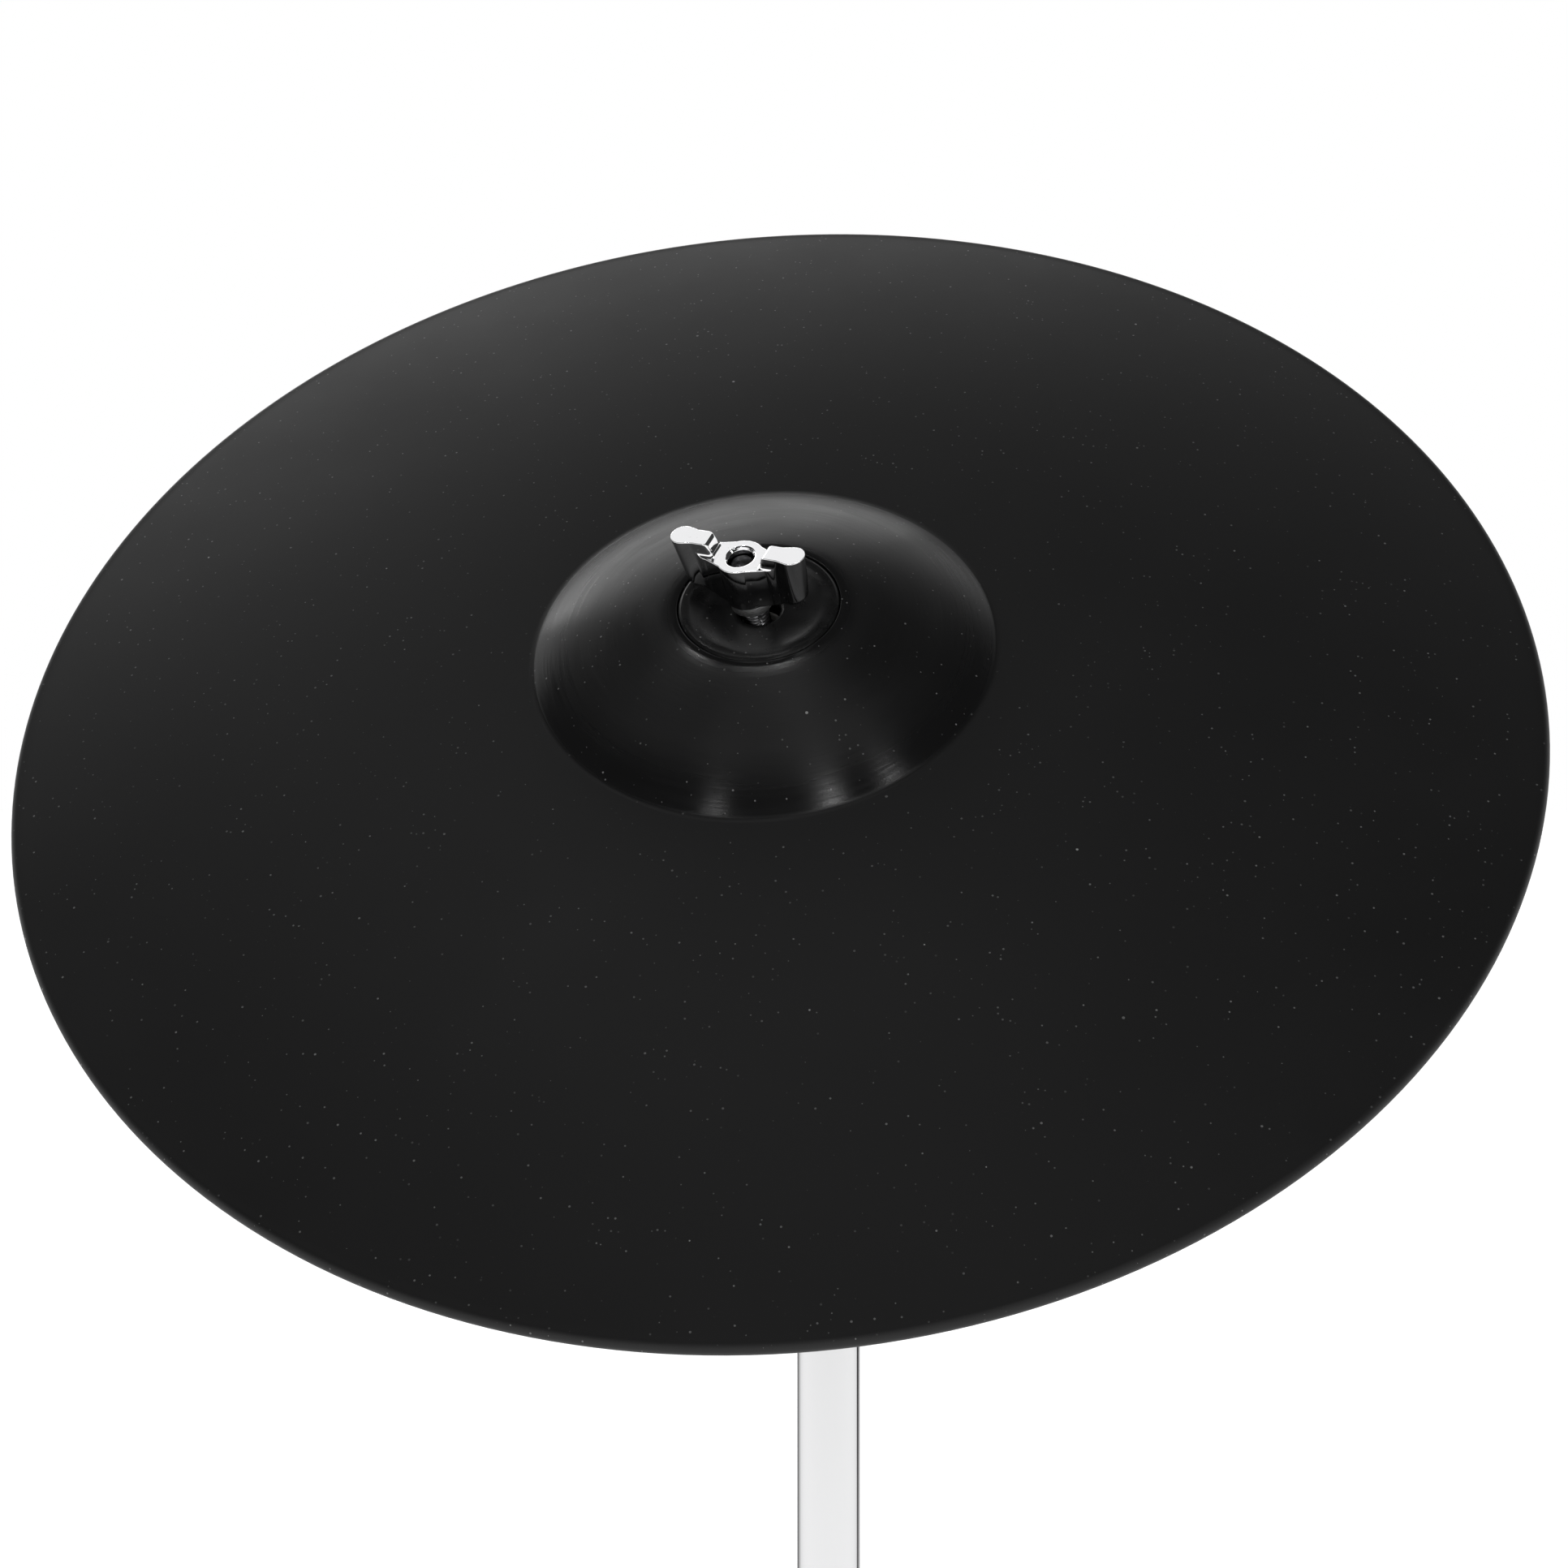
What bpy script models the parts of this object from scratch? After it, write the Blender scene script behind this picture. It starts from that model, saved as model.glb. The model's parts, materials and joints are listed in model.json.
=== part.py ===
"""Padded crash cymbal on the tilting top of its stand, as separate named pieces.

Run with: blender --background --python part.py
The lengths below are millimetres, and MM turns them into Blender's metres. +Z is up and the
origin is the middle of the foot of the stand's top tube. Every piece hangs from the empty of
the joint that carries it, so turning an empty turns what it carries.
"""
import math

import bmesh
import bpy
from mathutils import Euler, Matrix, Vector

MM = 0.001
WELD = 0.01 * MM
GAP = 0.3
LAYER_GAP = 0.4
RING_STEPS = 40
HARDWARE_STEPS = 20
SCREW_STEPS = 10
TOOL_STEPS = 18
TOOL_PHASE = math.radians(4)
SHARP_ANGLE = math.radians(35)

# Cymbal outline, measured from the plane of its rim.
CYMBAL_RADIUS = 228.6
RIM_HALF_DEPTH = 2.3
BOW_END = CYMBAL_RADIUS - 2.4
BOW_START_SLOPE = 0.03
BELL_RADIUS = 68.6
BELL_FOOT_HEIGHT = 20.85
BELL_SPHERE = 125.0
BELL_CENTRE = BELL_FOOT_HEIGHT - math.sqrt(BELL_SPHERE**2 - BELL_RADIUS**2)
BOW_RUN = BOW_END - BELL_RADIUS
BOW_CURVE = (BELL_FOOT_HEIGHT - RIM_HALF_DEPTH - BOW_START_SLOPE * BOW_RUN) / BOW_RUN**2

# Layers of the cymbal, as depths below its playing surface.
SKIN_DEPTH = 3.0
POCKET_DEPTH = 1.7
SENSOR_TOP = POCKET_DEPTH + LAYER_GAP
SENSOR_BOTTOM = SENSOR_TOP + 0.8
PLATE_TOP = SKIN_DEPTH + LAYER_GAP
PLATE_BOTTOM = PLATE_TOP + 1.8
SHEET_TOP = PLATE_BOTTOM + LAYER_GAP
SHEET_BOTTOM = SHEET_TOP + 1.4
COVER_TOP = SHEET_BOTTOM + LAYER_GAP
COVER_BOTTOM = COVER_TOP + 1.2
LIP_BOTTOM = SHEET_BOTTOM

# Radii where the layers start and stop.
CAP_RADIUS = 23.35
SKIN_START = 24.05
BELL_SENSOR_POCKET = (40.0, 62.0)
EDGE_POCKET = (206.0, 222.4)
LIP_START = 214.0
PLATE_END = 222.0
PLATE_SLOPE_START = SKIN_START + 2.5
SHEET_SPAN = (82.0, 200.0)
COVER_SPAN = (81.0, 212.0)

# Middle of the cymbal: cap, its neck and ring nut, and the bush that it spins on.
HOLE_RADIUS = 6.4
HOLE_CHAMFER = 0.8
DISH_HEIGHT = 36.9
DISH_RADIUS = 19.8
CAP_RIDGE_RADIUS = 21.5
CAP_RIDGE_RISE = 0.2
CAP_EDGE_RADIUS = 0.6
WEB_TOP = 32.6
WEB_BOTTOM = 30.8
NECK_RADIUS = 11.0
NECK_BOTTOM = 24.6
BUSH_RADIUS = 7.6
BUSH_BORE = 6.3
BUSH_TOP = 29.1
BUSH_FLANGE_RADIUS = 14.0
BUSH_FLANGE_BOTTOM = 22.8
BUSH_CONE_DEPTH = 1.0
RING_NUT_RADIUS = 16.5
RING_NUT_HEIGHT = 4.0

# Sensor housing under the bell.
HOUSING_FLOOR = 0.0
HOUSING_UNDERSIDE = -2.0
HOUSING_INNER = 24.0
HOUSING_INNER_TOP = 26.0
HOUSING_WALL = 69.0
HOUSING_FLANGE = 80.0
HOUSING_THICKNESS = 2.0
HOUSING_CHAMFER = 1.5
SCREW_COUNT = 6
SCREW_CIRCLE = 75.0
SCREW_RADIUS = 1.5
SCREW_HEAD_RADIUS = 2.9
SCREW_HEAD_EDGE = 1.3
SCREW_HEAD_HEIGHT = 1.9
JACK_HEIGHT = 5.9
JACK_BACK = 38.0
JACK_SHOULDER = 64.3
JACK_MOUTH = 73.5
JACK_SHELL_RADIUS = 5.4
JACK_THREAD_RADIUS = 4.9
JACK_BORE = 3.2
JACK_WALL = 4.0

# What the housing holds, round the cymbal's middle.
BOARD_SIZE = (30.0, 22.0, 1.6)
CONNECTOR_MARGIN = 5.0
CONNECTOR_HEIGHT = 5.0
BOARD_DISTANCE = 46.0
BOARD_BEARING = math.radians(305)
PICKUP_DISTANCE = 46.0
PICKUP_BEARING = math.radians(215)
PICKUP_STEPS = 24
CUSHION_RADIUS = 11.0
CUSHION_DEPTHS = (0.9, 2.9)
DISC_RADIUS = 13.5
DISC_DEPTHS = (3.2, 3.7)
LEAD_RADIUS = 0.7

# Stand top: where the tilter pivots, and how the post leans from there.
PIVOT_HEIGHT = 400.0
POST_OFFSET = 11.1
HEADING = math.radians(-16.0)
LEAN = math.radians(46.2)
SEAT_ON_POST = 46.6
SEAT_IN_CYMBAL = 25.5
SWING_NOD = math.radians(0.5)
SWING_ROLL = math.radians(7.2)
TUBE_RADIUS = 19.05 / 2
TUBE_WALL = 1.5
TUBE_BORE = TUBE_RADIUS - TUBE_WALL
TUBE_BOTTOM = 4.0
PLUG_TOP = 18.0
PIN_RADIUS = 1.5
PIN_DROP = 38.0
PIN_STEPS = 16

# Tilter and its clamp, measured from the pivot.
TILTER_RADIUS = 12.0
BOLT_RADIUS = 3.0
BOLT_REACH = 18.5
BOLT_HEAD_RADIUS = 7.0
HEAD_HALF_WIDTH = 4.5
FRICTION_THICKNESS = 1.0
FRICTION_RADIUS = 11.5
CLAMP_WASHER_RADIUS = 8.0
CLAMP_WASHER_THICKNESS = 1.2
BASE_INNER_FACE = HEAD_HALF_WIDTH + FRICTION_THICKNESS + 2 * GAP
SOCKET_RADIUS = 7.0
SOCKET_FLOOR = 16.0
NECK_OF_HEAD = 4.2
COLLAR_DROP = 14.0
COLLAR_HEIGHT = 3.5
SPIGOT_RADIUS = 7.7
SPIGOT_DROP = 62.0
SHOULDER_HEIGHT = 31.0

# Post and what it carries below the cymbal, measured from the pivot.
POST_RADIUS = 4.0
POST_TOP = 76.1
POST_NOSE_RADIUS = 3.3
POST_NOSE_HEIGHT = 4.1
SLEEVE_RADIUS = 5.0
SLEEVE_TOP = 49.6
SLEEVE_FLANGE_RADIUS = 8.0
SLEEVE_FLANGE_HEIGHT = 1.2
DOMED_WASHER_RADIUS = 14.5
DOMED_WASHER_BOTTOM = 32.2
DOMED_WASHER_DISH = 1.0
DOMED_WASHER_THICKNESS = 1.5

# Felt, measured from the point that the cymbal rocks about.
FELT_TOP = -4.8
FELT_THICKNESS = 6.0
FELT_RADIUS = 15.0
FELT_BORE = 7.0
FELT_EDGE = 0.8

# Wing nut on the post, with the wings' ends as (lower, upper) heights.
INSERT_BOTTOM = 59.7
INSERT_TOP = 73.2
INSERT_RADIUS = 6.35
INSERT_NECK_RADIUS = 5.4
NUT_BOTTOM = 63.5
NUT_TOP = 78.2
NUT_RADIUS = 7.0
NUT_BORE = 3.8
NUT_SHOULDER = 73.6
NUT_WING_SPAN = (6.2, 21.6)
NUT_WING_ROOT = (64.4, 77.6)
NUT_WING_TIP = (67.6, 82.6)
NUT_WING_THICKNESS = 6.6
NUT_TURN = math.radians(-13.5)

# Wing nut of the clamp, measured along the bolt from its own lower face.
CLAMP_NUT_RADIUS = 5.5
CLAMP_NUT_HEIGHT = 7.0
CLAMP_WING_SPAN = (4.4, 12.5)
CLAMP_WING_ROOT = (1.0, 6.0)
CLAMP_WING_TIP = (3.0, 9.0)
CLAMP_WING_THICKNESS = 3.0

QUARTER = math.pi / 2


def clear_scene():
    """Empty the file, so that the script starts from nothing."""
    for old in list(bpy.data.objects):
        bpy.data.objects.remove(old, do_unlink=True)


def look(name, colour, roughness, metallic=0.0):
    """A plain surface with one colour."""
    made = bpy.data.materials.new(name)
    made.use_nodes = True
    shader = made.node_tree.nodes["Principled BSDF"]
    shader.inputs["Base Color"].default_value = (*colour, 1.0)
    shader.inputs["Roughness"].default_value = roughness
    shader.inputs["Metallic"].default_value = metallic
    return made


def frame(name, parent=None, at=(0, 0, 0), turn=(0, 0, 0)):
    """An empty on a joint's axis."""
    empty = bpy.data.objects.new(name, None)
    bpy.context.collection.objects.link(empty)
    place(empty, parent, at, turn)
    return empty


def place(thing, parent, at, turn):
    """Hang a thing from its parent, at a place in millimetres."""
    thing.parent = parent
    thing.location = Vector(at) * MM
    thing.rotation_euler = Euler(turn)


def add_turned(bm, profile, steps, shift=(0, 0, 0), phase=0.0):
    """Turn a profile of (radius, height) points about Z into one closed solid."""
    offset = Vector(shift) * MM
    across = Vector((math.cos(phase), math.sin(phase), 0)) * MM
    up = Vector((0, 0, MM))
    points = [bm.verts.new(radius * across + height * up) for radius, height in profile]
    is_ring = min(radius for radius, height in profile) > 0
    pairs = list(zip(points, points[1:]))
    if is_ring:
        pairs.append((points[-1], points[0]))
    edges = [bm.edges.new(pair) for pair in pairs]
    known = set(bm.verts) - set(points)
    bmesh.ops.spin(bm, geom=points + edges, axis=(0, 0, 1), cent=(0, 0, 0),
                   steps=steps, angle=2 * math.pi, use_duplicate=False)
    fresh = [vert for vert in bm.verts if vert not in known]
    bmesh.ops.remove_doubles(bm, verts=fresh, dist=WELD)
    fresh = [vert for vert in bm.verts if vert not in known]
    bmesh.ops.translate(bm, verts=fresh, vec=offset)


def finish(name, bm, material, parent, at=(0, 0, 0), turn=(0, 0, 0)):
    """Turn a bmesh into a named object with its own material."""
    bmesh.ops.recalc_face_normals(bm, faces=bm.faces)
    mesh = bpy.data.meshes.new(name)
    bm.to_mesh(mesh)
    bm.free()
    mesh.shade_smooth()
    mesh.set_sharp_from_angle(angle=SHARP_ANGLE)
    piece = bpy.data.objects.new(name, mesh)
    bpy.context.collection.objects.link(piece)
    place(piece, parent, at, turn)
    if material:
        mesh.materials.append(material)
    return piece


def turned(name, profile, material, parent, steps=HARDWARE_STEPS, at=(0, 0, 0), turn=(0, 0, 0)):
    """One turned piece."""
    bm = bmesh.new()
    add_turned(bm, profile, steps)
    return finish(name, bm, material, parent, at, turn)


def turned_tool(name, profile, parent, at=(0, 0, 0), turn=(0, QUARTER, 0)):
    """A turned guide, its facets set off from those of the piece that it shapes."""
    bm = bmesh.new()
    add_turned(bm, profile, TOOL_STEPS, phase=TOOL_PHASE)
    return tool(finish(name, bm, None, parent, at, turn))


def rod(radius, low, high):
    """Profile of a plain cylinder."""
    return [(0, high), (radius, high), (radius, low), (0, low)]


def tube(inner, outer, low, high):
    """Profile of a plain ring."""
    return [(outer, high), (outer, low), (inner, low), (inner, high)]


def tool(piece):
    """Mark a piece as a guide that only shapes its neighbours."""
    piece.hide_render = True
    piece.display_type = "WIRE"
    return piece


def combine(piece, other, operation):
    """Join a guide to a piece, or cut it out of the piece."""
    change = piece.modifiers.new(f"{operation.lower()}_{other.name}", "BOOLEAN")
    change.operation = operation
    change.solver = "EXACT"
    change.object = other


def round_edges(piece, width, segments=2):
    """Soften a piece's sharp edges."""
    bevel = piece.modifiers.new("rounded_edges", "BEVEL")
    bevel.width = width * MM
    bevel.segments = segments
    bevel.limit_method = "ANGLE"
    bevel.angle_limit = SHARP_ANGLE


def surface_height(radius):
    """Height of the playing surface: a spherical bell, then a gently falling bow."""
    if radius < BELL_RADIUS:
        return BELL_CENTRE + math.sqrt(BELL_SPHERE**2 - radius**2)
    run = radius - BELL_RADIUS
    return BELL_FOOT_HEIGHT - BOW_START_SLOPE * run - BOW_CURVE * run**2


def shared_radii():
    """Radii where every layer has a ring of points, so that their facets nest."""
    bell_rings = 4
    bow_rings = 4
    bell = [SKIN_START + (BELL_RADIUS - SKIN_START) * i / bell_rings for i in range(bell_rings)]
    bow = [BELL_RADIUS + BOW_RUN * i / bow_rings for i in range(bow_rings + 1)]
    return bell + bow


def under_surface(start, stop, depth):
    """Points that follow the playing surface at one depth, from one radius to another."""
    low, high = sorted((start, stop))
    between = [radius for radius in shared_radii() if low < radius < high]
    radii = [low, *between, high]
    if start > stop:
        radii.reverse()
    return [(radius, surface_height(radius) - depth) for radius in radii]


def layer(name, span, top, bottom, material, parent):
    """A ring-shaped sheet between two depths."""
    start, stop = span
    profile = under_surface(start, stop, top) + under_surface(stop, start, bottom)
    return turned(name, profile, material, parent, RING_STEPS)


def make_playing_surface(material, parent):
    """Rubber skin, moulded round the rim, with recesses for the two switch rings."""
    rim_steps = 4
    rim_width = CYMBAL_RADIUS - BOW_END
    rim = []
    for i in range(1, rim_steps + 1):
        angle = math.pi * i / rim_steps
        rim.append((BOW_END + rim_width * math.sin(angle), RIM_HALF_DEPTH * math.cos(angle)))
    bell_in, bell_out = BELL_SENSOR_POCKET
    edge_in, edge_out = EDGE_POCKET
    profile = under_surface(SKIN_START, BOW_END, 0) + rim
    profile.append((LIP_START, surface_height(LIP_START) - LIP_BOTTOM))
    profile += under_surface(LIP_START, edge_out, SHEET_TOP)
    profile += under_surface(edge_out, edge_in, POCKET_DEPTH)
    profile += under_surface(edge_in, bell_out, SKIN_DEPTH)
    profile += under_surface(bell_out, bell_in, POCKET_DEPTH)
    profile += under_surface(bell_in, SKIN_START, SKIN_DEPTH)
    return turned("playing_surface", profile, material, parent, RING_STEPS)


def make_core_plate(material, parent):
    """Stiff plate that carries the skin, with a flat web where the cap is clamped."""
    bore = NECK_RADIUS + GAP
    profile = [(bore, WEB_TOP), (PLATE_SLOPE_START - 2.0, WEB_TOP)]
    profile += under_surface(PLATE_SLOPE_START, PLATE_END, PLATE_TOP)
    profile += under_surface(PLATE_END, PLATE_SLOPE_START + 1.0, PLATE_BOTTOM)
    profile += [(PLATE_SLOPE_START - 1.0, WEB_BOTTOM), (bore, WEB_BOTTOM)]
    return turned("core_plate", profile, material, parent, RING_STEPS)


def make_bell_cap(material, parent):
    """Round cap in the crown of the bell: dished top, hole for the post, threaded neck."""
    crown = surface_height(CAP_RADIUS)
    dish_start = HOLE_RADIUS + HOLE_CHAMFER
    dish_rings = 3
    profile = [(HOLE_RADIUS, DISH_HEIGHT - HOLE_CHAMFER)]
    for i in range(dish_rings + 1):
        part = i / dish_rings
        radius = dish_start + (DISH_RADIUS - dish_start) * part
        profile.append((radius, DISH_HEIGHT + (crown - DISH_HEIGHT) * part**2))
    profile += [
        (CAP_RIDGE_RADIUS, crown + CAP_RIDGE_RISE),
        (CAP_RADIUS - CAP_EDGE_RADIUS, crown),
        (CAP_RADIUS, crown - CAP_EDGE_RADIUS),
        (CAP_RADIUS, WEB_TOP + LAYER_GAP),
        (NECK_RADIUS, WEB_TOP + LAYER_GAP),
        (NECK_RADIUS, NECK_BOTTOM),
        (BUSH_RADIUS + GAP, NECK_BOTTOM),
        (BUSH_RADIUS + GAP, BUSH_TOP + LAYER_GAP),
        (HOLE_RADIUS, BUSH_TOP + LAYER_GAP),
    ]
    return turned("bell_cap", profile, material, parent, RING_STEPS)


def make_cap_ring_nut(material, parent):
    """Ring nut that clamps the cap's neck to the core plate."""
    top = WEB_BOTTOM - LAYER_GAP
    profile = tube(NECK_RADIUS + GAP, RING_NUT_RADIUS, top - RING_NUT_HEIGHT, top)
    return turned("cap_ring_nut", profile, material, parent, RING_STEPS)


def make_centre_bush(material, parent):
    """Low-friction bush that the cymbal spins on, with a coned flange that rocks on the felt."""
    flange_top = NECK_BOTTOM - LAYER_GAP
    profile = [
        (BUSH_BORE, BUSH_TOP),
        (BUSH_RADIUS, BUSH_TOP),
        (BUSH_RADIUS, flange_top),
        (BUSH_FLANGE_RADIUS, flange_top),
        (BUSH_FLANGE_RADIUS, BUSH_FLANGE_BOTTOM),
        (BUSH_BORE, BUSH_FLANGE_BOTTOM - BUSH_CONE_DEPTH),
    ]
    return turned("centre_bush", profile, material, parent, at=(0, 0, -SEAT_IN_CYMBAL))


def make_sensor_housing(material, parent):
    """Ring-shaped tray under the bell that holds the electronics."""
    flange_top = surface_height(HOUSING_WALL) - SHEET_TOP
    outer_foot = HOUSING_WALL - HOUSING_CHAMFER
    inner_foot = outer_foot - HOUSING_THICKNESS
    profile = [(HOUSING_WALL - HOUSING_THICKNESS, flange_top)]
    profile += under_surface(HOUSING_WALL, HOUSING_FLANGE, SHEET_TOP)
    profile += under_surface(HOUSING_FLANGE, HOUSING_WALL, SHEET_TOP + HOUSING_THICKNESS)
    profile += [
        (outer_foot, HOUSING_UNDERSIDE + HOUSING_CHAMFER),
        (outer_foot - HOUSING_CHAMFER, HOUSING_UNDERSIDE),
        (HOUSING_INNER + HOUSING_CHAMFER, HOUSING_UNDERSIDE),
        (HOUSING_INNER, HOUSING_UNDERSIDE + HOUSING_CHAMFER),
        (HOUSING_INNER, HOUSING_INNER_TOP),
        (HOUSING_INNER + HOUSING_THICKNESS, HOUSING_INNER_TOP),
        (HOUSING_INNER + HOUSING_THICKNESS, HOUSING_FLOOR),
        (inner_foot - HOUSING_CHAMFER, HOUSING_FLOOR),
        (inner_foot, HOUSING_FLOOR + HOUSING_CHAMFER),
    ]
    return turned("sensor_housing", profile, material, parent, RING_STEPS)


def screw_spots():
    """Where the housing screws stand."""
    for i in range(SCREW_COUNT):
        angle = 2 * math.pi * i / SCREW_COUNT
        yield (SCREW_CIRCLE * math.cos(angle), SCREW_CIRCLE * math.sin(angle), 0)


def make_housing_screws(material, parent):
    """Pan-head screws that hold the housing to the core plate."""
    surface = surface_height(SCREW_CIRCLE)
    head_top = surface - SHEET_TOP - HOUSING_THICKNESS - GAP
    shank_top = surface - PLATE_TOP - GAP
    profile = [
        (0, shank_top),
        (SCREW_RADIUS, shank_top),
        (SCREW_RADIUS, head_top),
        (SCREW_HEAD_RADIUS, head_top),
        (SCREW_HEAD_RADIUS - GAP, head_top - SCREW_HEAD_EDGE),
        (0, head_top - SCREW_HEAD_HEIGHT),
    ]
    for number, spot in enumerate(screw_spots(), start=1):
        turned(f"housing_screw_{number}", profile, material, parent, SCREW_STEPS, spot)


def make_screw_hole_tool(parent):
    """Guide that drills the screw holes through flange and plate."""
    bm = bmesh.new()
    low = HOUSING_FLOOR + HOUSING_THICKNESS
    high = surface_height(SCREW_CIRCLE)
    for spot in screw_spots():
        add_turned(bm, rod(SCREW_RADIUS + GAP, low, high), SCREW_STEPS, spot)
    return tool(finish("screw_hole_tool", bm, None, parent))


def make_output_jack(material, parent):
    """Socket for the cable, on the far side of the housing."""
    profile = [
        (0, JACK_BACK),
        (JACK_SHELL_RADIUS, JACK_BACK),
        (JACK_SHELL_RADIUS, JACK_SHOULDER),
        (JACK_THREAD_RADIUS, JACK_SHOULDER),
        (JACK_THREAD_RADIUS, JACK_MOUTH),
        (JACK_BORE, JACK_MOUTH),
        (JACK_BORE, JACK_BACK + JACK_WALL),
        (0, JACK_BACK + JACK_WALL),
    ]
    return turned("output_jack", profile, material, parent, HARDWARE_STEPS,
                  (0, 0, JACK_HEIGHT), (-QUARTER, 0, 0))


def make_jack_nut(material, parent):
    """Nut that holds the socket in the housing's wall."""
    inner_face = HOUSING_WALL + 0.1
    height = 2.5
    outer_radius = 6.6
    profile = tube(JACK_THREAD_RADIUS + GAP, outer_radius, inner_face, inner_face + height)
    return turned("jack_nut", profile, material, parent, HARDWARE_STEPS,
                  (0, 0, JACK_HEIGHT), (-QUARTER, 0, 0))


def make_circuit_board(material, parent):
    """Small board on the housing's floor, with a raised connector block."""
    bm = bmesh.new()
    length, width, thickness = BOARD_SIZE
    bmesh.ops.create_cube(bm, size=MM, matrix=Matrix.Diagonal((length, width, thickness, 1)))
    top = max(bm.faces, key=lambda face: face.calc_center_median().z)
    bmesh.ops.inset_region(bm, faces=[top], thickness=CONNECTOR_MARGIN * MM)
    raised = bmesh.ops.extrude_face_region(bm, geom=[top])["geom"]
    corners = [item for item in raised if isinstance(item, bmesh.types.BMVert)]
    bmesh.ops.translate(bm, verts=corners, vec=(0, 0, CONNECTOR_HEIGHT * MM))
    bmesh.ops.delete(bm, geom=[top], context="FACES_ONLY")
    height = HOUSING_FLOOR + 0.5 * thickness + LAYER_GAP
    spot = (BOARD_DISTANCE * math.cos(BOARD_BEARING), BOARD_DISTANCE * math.sin(BOARD_BEARING), height)
    return finish("circuit_board", bm, material, parent, spot, (0, 0, BOARD_BEARING))


def make_piezo(cushion_material, disc_material, parent):
    """Vibration pickup: a brass disc on a foam cushion, square to the underside of the bell."""
    height = surface_height(PICKUP_DISTANCE) - PLATE_BOTTOM
    spot = (PICKUP_DISTANCE * math.cos(PICKUP_BEARING), PICKUP_DISTANCE * math.sin(PICKUP_BEARING), height)
    slope = math.asin(PICKUP_DISTANCE / BELL_SPHERE)
    turn = (0, slope, PICKUP_BEARING)
    for name, radius, depths, material in (
        ("piezo_cushion", CUSHION_RADIUS, CUSHION_DEPTHS, cushion_material),
        ("piezo_disc", DISC_RADIUS, DISC_DEPTHS, disc_material),
    ):
        upper, lower = depths
        turned(name, rod(radius, -lower, -upper), material, parent, PICKUP_STEPS, spot, turn)


def make_lead(name, path, material, parent):
    """One round lead along a smooth path."""
    curve = bpy.data.curves.new(name, "CURVE")
    curve.dimensions = "3D"
    curve.bevel_depth = LEAD_RADIUS * MM
    curve.bevel_resolution = 1
    curve.resolution_u = 3
    curve.render_resolution_u = 3
    curve.use_fill_caps = True
    spline = curve.splines.new("BEZIER")
    spline.bezier_points.add(len(path) - 1)
    for point, spot in zip(spline.bezier_points, path):
        point.co = Vector(spot) * MM
        point.handle_left_type = "AUTO"
        point.handle_right_type = "AUTO"
    curve.materials.append(material)
    lead = bpy.data.objects.new(name, curve)
    bpy.context.collection.objects.link(lead)
    place(lead, parent, (0, 0, 0), (0, 0, 0))


def make_leads(material, parent):
    """The leads inside the housing, all starting above the circuit board."""
    to_jack = ((35, -25, 4.2), (46, -4, 4.2), (34, 26, 5.0), (12, 30, 5.9), (1, 33, 5.9), (0, 37.0, 5.9))
    to_pickup = ((13, -44, 4.2), (-8, -47, 7), (-28, -38, 13), (-35, -28, 19), (-36, -25.4, 21.4))
    to_switches = ((42, -38, 4.2), (47, -32, 9), (46, -28, 15), (45, -27, 21))
    make_lead("jack_lead", to_jack, material, parent)
    make_lead("pickup_lead", to_pickup, material, parent)
    make_lead("switch_lead", to_switches, material, parent)


def make_cymbal(cymbal):
    """Everything that spins with the cymbal."""
    rubber = look("skin_rubber", (0.012, 0.012, 0.012), 0.55)
    make_playing_surface(rubber, cymbal)
    make_bell_cap(look("cap_plastic", (0.02, 0.02, 0.02), 0.35), cymbal)
    plate = make_core_plate(look("core_resin", (0.05, 0.05, 0.045), 0.6), cymbal)
    film = look("switch_film", (0.35, 0.33, 0.28), 0.4)
    inset = GAP + 0.1
    bell_in, bell_out = BELL_SENSOR_POCKET
    edge_in, edge_out = EDGE_POCKET
    layer("bell_sensor", (bell_in + inset, bell_out - inset), SENSOR_TOP, SENSOR_BOTTOM, film, cymbal)
    layer("edge_sensor", (edge_in + inset, edge_out - 2 * inset), SENSOR_TOP, SENSOR_BOTTOM, film, cymbal)
    foam = look("damping_foam", (0.03, 0.03, 0.032), 0.95)
    layer("damping_sheet", SHEET_SPAN, SHEET_TOP, SHEET_BOTTOM, foam, cymbal)
    shell = look("cover_plastic", (0.016, 0.016, 0.017), 0.5)
    layer("bottom_cover", COVER_SPAN, COVER_TOP, COVER_BOTTOM, shell, cymbal)
    make_cap_ring_nut(look("ring_nut_nylon", (0.03, 0.03, 0.03), 0.5), cymbal)
    housing = make_sensor_housing(look("housing_plastic", (0.018, 0.018, 0.019), 0.45), cymbal)
    drill = make_screw_hole_tool(cymbal)
    combine(plate, drill, "DIFFERENCE")
    combine(housing, drill, "DIFFERENCE")
    jack_hole = rod(JACK_THREAD_RADIUS + GAP, JACK_SHOULDER - HOUSING_THICKNESS, JACK_MOUTH)
    jack_drill = turned_tool("jack_hole_tool", jack_hole, cymbal, (0, 0, JACK_HEIGHT), (-QUARTER, 0, 0))
    combine(housing, jack_drill, "DIFFERENCE")
    make_housing_screws(look("black_screw_steel", (0.08, 0.08, 0.08), 0.4, 1.0), cymbal)
    make_output_jack(look("jack_shell", (0.02, 0.02, 0.02), 0.4), cymbal)
    make_jack_nut(look("nickel", (0.7, 0.69, 0.66), 0.25, 1.0), cymbal)
    make_circuit_board(look("board_laminate", (0.02, 0.12, 0.05), 0.5), cymbal)
    make_piezo(look("cushion_foam", (0.25, 0.25, 0.26), 0.9),
               look("pickup_brass", (0.75, 0.55, 0.2), 0.3, 1.0), cymbal)
    make_leads(look("lead_insulation", (0.05, 0.05, 0.05), 0.5), cymbal)


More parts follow.
